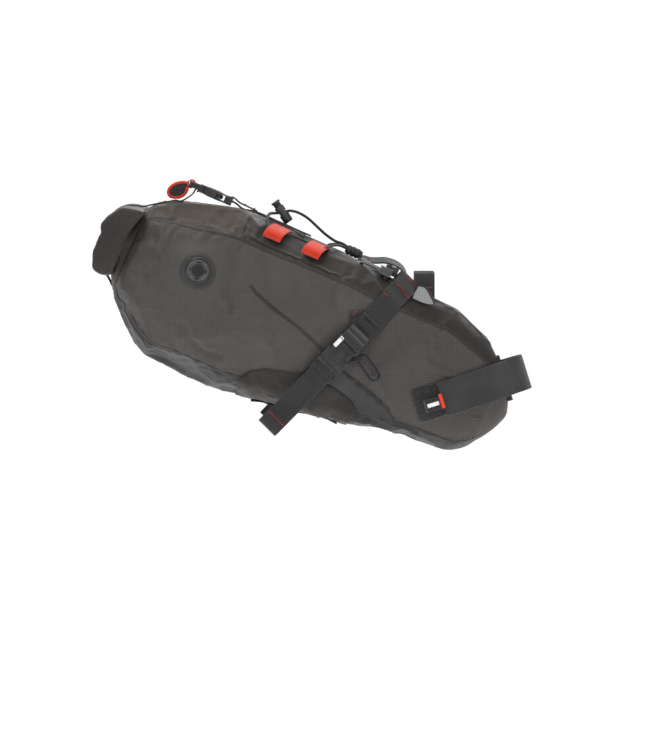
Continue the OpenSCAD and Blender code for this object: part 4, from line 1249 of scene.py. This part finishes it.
def side_straps():
    by = BUCKLE_Y
    for left in (False, True):
        tag = "left" if left else "right"
        flip = mirrored if left else (lambda pts: pts)
        out = Vector((0, 1, 0)) if left else Vector((0, -1, 0))
        place = reflected(SIDE_PLACE) if left else SIDE_PLACE
        plug = "side_plug_" + tag
        female("buckle_socket_" + tag, place, "bag", 29, "side_buckle_female_" + tag)
        male("buckle_plug_" + tag, place, plug, 29, "side_buckle_male_" + tag)
        # Upper webbing: from the saddle rail over the bag's shoulder to the socket, folded through its bar.
        path = [(-112, -23), (-106, -28.5), (-98, -35.5), (-91, under(-91, 1.6))]
        path += [(s, under(s, 1.5)) for s in range(-84, -34, 7)]
        path += [(-30, min(under(-32, 1.6), -by + 3.2)), (-22, -by + 1.2), (-16.4, -by + 1.4)]
        upper = ribbon("upper_strap_" + tag, flip([strap(s, y, 0) for s, y in path]), STRAP_ACROSS, 25, 1.6)
        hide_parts("side_strap_upper_" + tag)
        fold = [(-16.2, -by + 1.2), (-15.6, -by - 1.6), (-17.4, -by - 4.9), (-21, -by - 4.9),
                (-25, -by - 2.4)]
        fold += [(-32, under(-32, 3.4)), (-44, under(-44, 3.3)), (-52, under(-52, 3.2))]
        ribbon("upper_fold_" + tag, flip([strap(s, y, 0) for s, y in fold]), STRAP_ACROSS, 25, 1.5)
        for s in (-38, -49):
            bartack(f"fold_bartack_{tag}_{-s}", flip([strap(s, under(s, 4.2), 0)])[0], STRAP_ACROSS, out, 20,
                    2.4,
                    "black_thread")
        # Red tacks where the webbing is sewn near the rail.
        for n, (s, t, w, a) in enumerate(((-110, 3.4, 15, 0.0), (-97, 2.5, 19, 0.12))):
            turn = STRAP_ACROSS * math.cos(a) + STRAP_DOWN * math.sin(a)
            y = np.interp(s, (-112, -106, -98, -91), (-23, -28.5, -35.5, under(-91, 1.6))) - 1.0
            slope = (strap(s + 4, np.interp(s + 4, (-112, -106, -98, -91),
                                            (-23, -28.5, -35.5, under(-91, 1.6))), 0)
                     - strap(s - 2, np.interp(s - 2, (-112, -106, -98, -91),
                                              (-23, -28.5, -35.5, under(-91, 1.6))), 0))
            face = STRAP_ACROSS.cross(slope)
            face = face if face.y < 0 else -face
            face = Vector((face.x, -face.y, face.z)) if left else face
            bartack(f"red_tack_{tag}_{n}", flip([strap(s, y, t)])[0], turn, face, w, 2.6)
        bartack(f"red_dot_{tag}", flip([strap(-81.6, under(-81.6, 2.9), -9)])[0], STRAP_ACROSS, out, 3.4, 2.4)
        # Lower webbing: sewn to the belly, and through the plug's ladder to the free tail.
        lower = ribbon("lower_strap_" + tag, flip([strap(s, under(s, 1.4 + (0.8 if s < 34 else 0)),
                                                         0) for s in range(22, 79, 7)]),
                       STRAP_ACROSS, 24, 1.6)
        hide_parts("side_strap_lower_" + tag)
        wrap = [(19.0, 1.8), (18.95, -2.0), (20.2, -4.3), (22.6, -4.3), (24.3, -2.4), (25.0, -0.2)]
        ribbon("ladder_wrap_" + tag, flip([strap(s, -by + y, 0) for s, y in wrap]), STRAP_ACROSS, 23.5, 1.4,
               body=plug, step=1.0)
        tail = [(25.0, 0.0), (26.4, -3.4), (28.6, -4.6), (31.5, -4.2), (38, -2.4), (50, -1.6), (64, -0.6),
                (80, 0.6), (94, 1.0),
                (102, 2.2), (108, 4.6)]
        end = ribbon("strap_tail_" + tag, flip([strap(s, -by + y, 0) for s, y in tail]),
                     STRAP_ACROSS, 25, 1.6, body=plug)
        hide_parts("side_strap_tail_" + tag)
        hem = [(92, -0.9), (98, -0.1), (102, 0.7), (107.8, 3.1), (109.2, 4.7), (108.4, 6.0)]
        ribbon("tail_hem_" + tag, flip([strap(s, -by + y, 0) for s, y in hem]), STRAP_ACROSS, 25, 1.5,
               body=plug)
        bartack("tail_tack_" + tag, flip([strap(95, -by - 1.6, 0)])[0], STRAP_ACROSS, out, 21, 2.6, body=plug)
        # Reflective fold sewn to the socket's outer face.
        tab_place = matrix(flip([strap(-11, -by - 5.15, -10.4)])[0], STRAP_DOWN, out)
        tabs = slab("reflective_fold_" + tag, rounded(-6.6, -2.2, 6.6, 2.2, 0.8, 3), -0.45, 0.55, tab_place,
                    "reflective", "bag", 0.25)
        if not left:
            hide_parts("reflective_tabs")
        bartack("reflective_tack_" + tag, flip([strap(-15.6, -by - 5.8, -10.4)])[0], STRAP_ACROSS, out, 3.6,
                1.0, "black_thread")
        # Small webbing triangle behind the upper strap, with a red tack.
        corners = [(-56, -12.7), (-30, -12.7), (-33, -17), (-42, -24), (-47, -20)]
        place_tab = lambda s, t, off: flip([strap(s, skin_y(*(lambda p: (p.x, p.z))(strap(s, 0, t)), off),
                                                  t)])[0]
        tri = patch("strap_tab_" + tag, corners, place_tab, 2.2, 1.3, "webbing", 3.0)
        if not left:
            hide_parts("side_tabs")
        bartack("tab_tack_" + tag, place_tab(-43.5, -19, 2.4), STRAP_DOWN, out, 6, 2.2)


side_straps()


def valve():
    """The air valve keeps its CAD shape; a welded disc holds it and a raised lip runs round it."""
    ring = [(VALVE[0] + 19.5 * math.cos(a), VALVE[1] + 19.5 * math.sin(a)) for a in np.linspace(0,
            2 * math.pi, 41)[:-1]]
    patch("valve_disc", [tuple(p) for p in ring], lambda a, b, off: side(a, b, off), 0.55, 0.8, "plain", 2.5,
          "valve_patch")
    lo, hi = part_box("valve_flange")
    centre = Vector(((lo.x + hi.x) / 2, lo.y, (lo.z + hi.z) / 2)) / MM
    place = matrix(centre, bag(1, 0, 0), (0, -1, 0))
    lathe("valve_lip", [(12.1, -1.4), (13.3, -1.4), (13.9, -0.9), (13.7, 0.3), (13.0, 0.8), (12.3, 0.5),
                        (12.1, -0.2), (12.1, -1.4)],
          place, "plastic")
    n_at = lambda p: Vector((0, -1, 0))
    circle = [side(VALVE[0] + 17.4 * math.cos(a), VALVE[1] + 17.4 * math.sin(a), 0.6) for a in np.linspace(0,
            2 * math.pi, 33)]
    stitches("valve_stitching", circle, n_at, thick=0.24)


valve()


# ---------------------------------------------------------------- top: strap, buckle, loops and cord
def top_at(u, y, off):
    """A point on top of the bag, a distance y from the middle plane."""
    r = min(0.999, abs(y) / float(np.interp(u, *H_CURVE)))
    th = math.degrees(math.asin(r ** (ROUNDNESS / 2)))
    return surf(u, -th if y > 0 else th, off)


def top_strap():
    side_axis = (0, 1, 0)
    rear = [(-437, -88), (-447, -80), (-460, -76), (-466, -66), (-469.4, -52), (-470.4, -38), (-471.6, -25),
            (-466, -13),
            (-458, -2.6), (-447, 2.2), (-440, 4.6)]
    rise = [(-398.2, 36.6), (-396.8, 43), (-395.4, 47.4), (-393.4, 45.4), (-393.9, 42)]
    path = [bag(u, 0, w) for u, w in rear] + [surf(u, 0, 1.4) for u in (-431, -425, -418, -411, -405)]
    strap_ = ribbon("closure_webbing", path + [bag(u, 0, w) for u, w in rise], side_axis, 20, 1.6)
    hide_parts("closure_strap")
    bartack("closure_tack", surf(-421, 0, 2.4), side_axis, bag(-0.5, 0, 0.86), 16, 2.4, "black_thread")
    female("top_socket", TOP_PLACE, "bag", 29, "top_buckle_female")
    male("top_plug_detail", TOP_PLACE, "top_plug", 29, "top_buckle_male")
    front = [bag(-358.6, 0, 46.6), bag(-352, 0, 48.0)] + [surf(u, 0, 1.5) for u in range(-342, -258, 10)]
    anchor = ribbon("anchor_webbing", front, side_axis, 20, 1.6)
    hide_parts("top_anchor_strap")
    back_fold = [bag(-358.4, 0, 46.8), bag(-359.6, 0, 49.6), bag(-357.4, 0, 52.4), bag(-353, 0, 52.0),
                 bag(-347, 0, 50.2),
                 bag(-336, 0, 49.8), bag(-326, 0, 49.4)]
    ribbon("anchor_fold", back_fold, side_axis, 20, 1.5)
    for n, u in enumerate((-341, -330)):
        bartack(f"anchor_tack_{n}", bag(u, 0, 50.8), side_axis, bag(0, 0, 1), 15, 2.6,
                "thread" if n == 0 else "black_thread")
    # Red pull: webbing folded back on itself, black on its inner face.
    red = [(30.9, -1), (35.5, -1.6), (41, -4.4), (45.6, -8.8), (48, -14.6), (46.8, -19.4), (43, -21.6),
           (37.6, -20.2),
           (33, -17.4), (30.4, -13), (30, -8), (30.8, -4.6)]
    there = lambda x, y: TOP_PLACE @ Vector((x, y, 0))
    pull = ribbon("pull_handle", [there(x, y) for x, y in red], side_axis, 20, 3.2, "red", "top_plug")
    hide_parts("pull_loop")
    # Folded black webbing fills the pull.
    fill = TOP_PLACE @ Matrix.Translation((0, 0, -9.2))
    core = [(31.4, -2.2), (35.4, -2.4), (40.8, -5.0), (45.2, -9.2), (47.4, -14.6), (46.4, -18.9),
            (42.8, -20.9), (37.8, -19.5),
            (33.5, -16.8), (31.0, -12.8), (30.6, -8)]
    slab("pull_core", core, 0.0, 18.4, fill, "webbing", "top_plug", 0.7)
    for n, (x, y) in enumerate(((34, -9.4), (34.6, -13.0))):
        ribbon(f"pull_layer_{n}", [there(x, y), there(40, y - 1.6), there(45.4, y - 4.4)], side_axis, 19.2,
               0.9, "webbing",
               "top_plug", step=1.5)
    ribbon("pull_wrap", [there(x, y) for x, y in ((25, 1.6), (26.2, 4.0), (29, 4.3), (31.6, 2.2),
                                                  (32.4, -1.0), (30.4, -3.6),
                                                 (27, -4.2), (25, -2.0))], side_axis, 20, 1.3, "red",
           "top_plug", step=1.0)
    bartack("pull_tack", there(38, -1.6), side_axis, bag(0, 0, 1), 16, 2.2, "black_thread", "top_plug")
    # Pointed webbing tip of the yoke, sewn down along both edges.
    tip = [(-340, -11), (-318, -12.5), (-276, -21), (-268, -23), (-268, 23), (-276, 21), (-318, 12.5),
           (-340, 11)]
    patch("yoke_tip", tip, top_at, 0.9, 0.8, "tape", 3.5)
    for y in (-1, 1):
        stitches(f"yoke_stitching_{'r' if y < 0 else 'l'}", [top_at(a, y * b, 0.95) for a, b in
                 ((-336, 9.4), (-318, 10.8), (-276, 19.2), (-270, 20.6))], lambda p: bag(0, 0, 1), length=1.8)


LOOP_ARCH = [(-17.5, -1.5), (-17.6, 1.5), (-16.2, 4.2), (-13, 5.6), (-9, 6.0), (-4, 5.7), (2, 4.8), (8, 3.4),
             (13, 1.6),
             (16, 0), (19, -1.2)]


def loops():
    lean = math.radians(24)
    for left in (False, True):
        tag = "left" if left else "right"
        for n, u in enumerate((-300, -255)):
            half = float(np.interp(u, [r[0] for r in HALF], [r[1] for r in HALF]))
            top = float(np.interp(u, [r[0] for r in TOP], [r[1] for r in TOP]))
            arch = []
            for x, z in LOOP_ARCH:
                p = bag(u + 0.22 * (x + 17), -half * 0.5 + x * math.cos(lean) - z * math.sin(lean),
                        top - 7.8 + x * math.sin(lean) + z * math.cos(lean))
                arch.append(Vector((p.x, -p.y, p.z)) if left else p)
            o = ribbon(f"red_loop_{tag}_{n}", arch, bag(1, 0, 0), 20, 1.7, "red", step=1.5)
            if n == 0:
                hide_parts("cord_loops_" + tag)
            for f, at in ((0, 1.5), (1, len(arch) - 2.5)):
                i = int(at)
                p = arch[i].lerp(arch[i + 1], 0.5)
                t = (arch[i + 1] - arch[i]).normalized()
                nrm = bag(1, 0, 0).cross(t)
                nrm = nrm if nrm.z > 0 or abs(nrm.y) > 0.6 and nrm.y * p.y > 0 else -nrm
                nrm = -nrm if nrm.dot(p - arch[len(arch) // 2] + Vector((0, 0, 8))) < 0 else nrm
                bartack(f"loop_tack_{tag}_{n}_{f}", p + nrm.normalized() * 0.9, bag(1, 0, 0), nrm, 15, 2.0,
                        "thread")
    strip("daisy_chain", 44.6, -322, -218, 1.9, 0.9, 0.8, "yoke", "daisy_webbing")


LACE_REAR = [(-307, -47, 38.6), (-311, -38, 43.6), (-313, -28, 48), (-313, -18, 51.5), (-311, -9, 53.6),
             (-306, -2.2, 56),
             (-300, -2.0, 59.6)]
LACE_FRONT = [(-246, -44, 40), (-242, -38, 44.5), (-238, -29, 48.5), (-232, -18, 51.5), (-227, -8, 52.2),
              (-221, -2.6, 52)]
LACE_RUN = [(-307, -47, 38.6), (-298, -45, 41), (-285, -43.4, 41.6), (-270, -43, 41.8), (-256, -43.2, 41.4),
            (-246, -44, 40)]
TAIL = [(-300, -2.0, 59.6), (-295, -2, 63.6), (-290, -2, 65.4), (-282, -2.2, 66), (-272, -3, 64.5),
        (-260, -3.4, 60.5),
        (-248, -3.2, 56.5), (-236, -3, 54.2), (-228, -2.8, 54.8), (-220, -2.4, 53.6)]


def cords():
    for left in (False, True):
        tag = "left" if left else "right"
        flip = mirrored if left else (lambda pts: pts)
        for name, route, node in (("lace_rear", LACE_REAR, "shock_cord_lacing"),
                                  ("lace_front", LACE_FRONT, None),
                                  ("lace_run", LACE_RUN, None), ("cord_tail", TAIL, "shock_cord_tail")):
            o = tube(f"{name}_{tag}", flip([bag(*p) for p in route]), 1.5, step=1.0)
            if node and not left:
                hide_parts(node)


top_strap()
loops()
cords()


# ---------------------------------------------------------------- rail loops and spine hardware
def rail_pieces():
    for left in (False, True):
        tag = "left" if left else "right"
        flip = mirrored if left else (lambda pts: pts)
        path = [(-97, -28.2, 82), (-97, -27.4, 94), (-97, -26.9, 103)]
        path += [(-97, -22 - 4.7 * math.cos(math.radians(a)),
                  107 + 4.7 * math.sin(math.radians(a))) for a in range(-10, 200, 20)]
        path += [(-97, -17.4, 101), (-97, -18.6, 94), (-97, -20.4, 86)]
        o = ribbon("rail_webbing_" + tag, flip([Vector(p) for p in path]), (1, 0, 0), 22, 1.6, step=1.2)
        if not left:
            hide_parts("rail_loops")
        out = Vector((0, 1, 0)) if left else Vector((0, -1, 0))
        for z in (96, 90):
            bartack(f"rail_tack_{tag}_{z}", flip([Vector((-97, -28.1 if z > 92 else -28.4, z))])[0],
                    (1, 0, 0), out, 16, 2.2)
        place = matrix((0, 31 if left else -31, 0), (1, 0, 0), (0, -1, 0))
        wing = [(-110, 84.5), (-108, 89.5), (-103, 98), (-99, 97.4), (-95, 95), (-90.4, 87), (-86, 78.6),
                (-92, 78), (-100, 80)]
        o = slab("wing_" + tag, wing, -0.6, 0.6, place, "grey", "bag", 0.3)
        if not left:
            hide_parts("wing_gussets")
        y = 31 if left else -31
        tube(f"wing_binding_{tag}", [(x, y, z) for x, z in wing[2:7]], 1.2, "webbing", sides=8)
    spine = [(-206, 49.6), (-198, 50.8), (-192, 51.8), (-186, 54.2), (-178, 58), (-168, 59.6), (-160, 58.6),
             (-154, 55.6), (-150, 51)]
    o = ribbon("spine_webbing", [bag(u, 0, w - 1) for u, w in spine], (0, 1, 0.3), 20, 1.8)
    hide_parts("spine_strap")
    bartack("spine_tack", bag(-196, 0, 52.2), (0, 1, 0), bag(0, 0, 1), 15, 2.4)


rail_pieces()


# ---------------------------------------------------------------- seatpost strap
POST_AXIS = post(0, 0, 1)
STRAP_R = 14.4


def post_y(x, off):
    """Distance from the middle plane to the strap's centre at x, clear of the fabric under its width."""
    reach = [post(x, 0, z) for z in (-18, -9, 0, 9, 18)]
    return max(-skin_y(p.x, p.z, off) for p in reach)


def seatpost_strap():
    far = [(x, post_y(x, 1.2)) for x in range(-112, -15, 8)] + [(-8, 18.0)]
    far += [(STRAP_R * math.cos(math.radians(a)), STRAP_R * math.sin(math.radians(a))) for a in range(90,
            -79, -7)]
    loop = ribbon("post_strap", [post(x, y, 0) for x, y in far], POST_AXIS, 38, 1.6, "webbing_light",
                  step=1.5)
    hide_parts("nose_strap")
    near = [(STRAP_R * math.cos(math.radians(a)), STRAP_R * math.sin(math.radians(a))) for a in (-78, -84)]
    near += [(-2, -15.6), (-8, -19.6)] + [(x, -post_y(x, 4.0)) for x in range(-18, -83, -8)]
    flap = ribbon("post_flap", [post(x, y, 0) for x, y in near], POST_AXIS, 38, 1.6, "webbing_light",
                  "strap_flap", step=1.5)
    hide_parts("strap_flap")
    tape = ribbon("flap_tape", [post(x, -post_y(x, 2.7), 0) for x in range(-58, -83, -6)], POST_AXIS, 35,
                  1.0, "hooks",
                  "strap_flap", step=2)
    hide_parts("flap_loop_tape")
    # Hook tape on the bag, seen behind the flap's end.
    corner = lambda x, z, off: Vector((0, 0, 0)) + side(*(lambda p: (p.x * C - p.z * S,
                                                                     p.x * S + p.z * C))(post(x, 0, z)), off)
    patch("hook_tape", rounded(-112, -18, -56, 18, 2.5, 3), corner, 1.9, 1.3, "hooks", 3.0, "hook_patch")
    # Topstitching along the flap's edges and end.
    out = lambda p: Vector((0, -1, 0))
    for z in (-16.6, 16.6):
        line = [post(x, -post_y(x, 4.0) - 0.9, z) for x in range(-14, -83, -4)]
        stitches(f"flap_stitching_{'low' if z < 0 else 'high'}", line, out, "black_thread", body="strap_flap")
    for x in (-80.4, -58):
        stitches(f"flap_end_{int(-x)}", [post(x, -post_y(x, 4.0) - 0.9, z) for z in range(-16, 17, 4)], out,
                 "black_thread",
                 body="strap_flap")
    # Pull tab: black webbing with a white reflective face, folded.
    grip = [(-79, -post_y(-80, 5.4)), (-86, -post_y(-86, 6.4)), (-94, -post_y(-94, 6.8)),
            (-99, -post_y(-99, 6.0)),
            (-101.6, -post_y(-101, 4.4)), (-100, -post_y(-100, 3.2))]
    tab = ribbon("grip_tab", [post(x, y, -2) for x, y in grip], POST_AXIS, 14, 1.4, "webbing", "strap_flap")
    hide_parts("pull_tab")
    face = [(x, y - 1.0) for x, y in grip]
    ribbon("grip_face", [post(x, y, -2) for x, y in face[1:4]], POST_AXIS, 4.2, 0.6, "reflective",
           "strap_flap")
    label = matrix(post(-82.6, -post_y(-82.6, 6.8) - 1.0, -1), post(1, 0, 0), (0, -1, 0))
    slab("red_label", rounded(-1.8, -8, 1.8, 8, 0.6, 2), 0, 0.6, label, "red", "strap_flap", 0.15)


seatpost_strap()


# ---------------------------------------------------------------- CAD nodes that keep their shape
def dress(node, material, bevel=0.3):
    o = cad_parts[node]
    for s_ in o.material_slots:
        s_.material = M[material]
    if not o.material_slots:
        o.data.materials.append(M[material])
    if bevel:
        modifier(o, "BEVEL", width=bevel * MM, segments=2, limit_method="ANGLE", angle_limit=math.radians(40))
        modifier(o, "WEIGHTED_NORMAL", keep_sharp=True)


for node, material, bevel in (
        ("spine_stiffener", "sheet", 0),
        ("nose_stiffener", "sheet", 0), ("post_pad", "rubber", 0), ("valve_flange", "plastic", 0.35),
        ("valve_cap", "plastic", 0.35), ("valve_nut", "plastic", 0.3), ("valve_diaphragm", "silicone", 0.2),
        ("cord_lock_body", "plastic", 0.3), ("cord_lock_plunger", "plastic", 0.3),
                              ("cord_lock_spring", "metal", 0),
        ("cord_end", "rubber", 0), ("clip_body", "anodised", 0), ("clip_gate", "anodised", 0.2),
        ("spine_bracket", "plastic", 0.7), ("pin_bushing", "steel", 0.3), ("locking_pin", "steel", 0.4)):
    dress(node, material, bevel)


def clip_tab():
    """Webbing that holds the accessory clip to the socket's front edge."""
    lo, hi = (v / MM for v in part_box("clip_body"))
    bend = Vector((lo.x + 6, (lo.y + hi.y) / 2, hi.z - 4))
    edge = strap(-6, -BUCKLE_Y + 1.5, 13)
    path = [edge, edge.lerp(bend, 0.5) + Vector((0, -1.6, 0.6)), bend + Vector((1.5, -1.2, 0))]
    ribbon("clip_webbing", path, STRAP_DOWN, 6, 1.2, "webbing", "bag")


clip_tab()
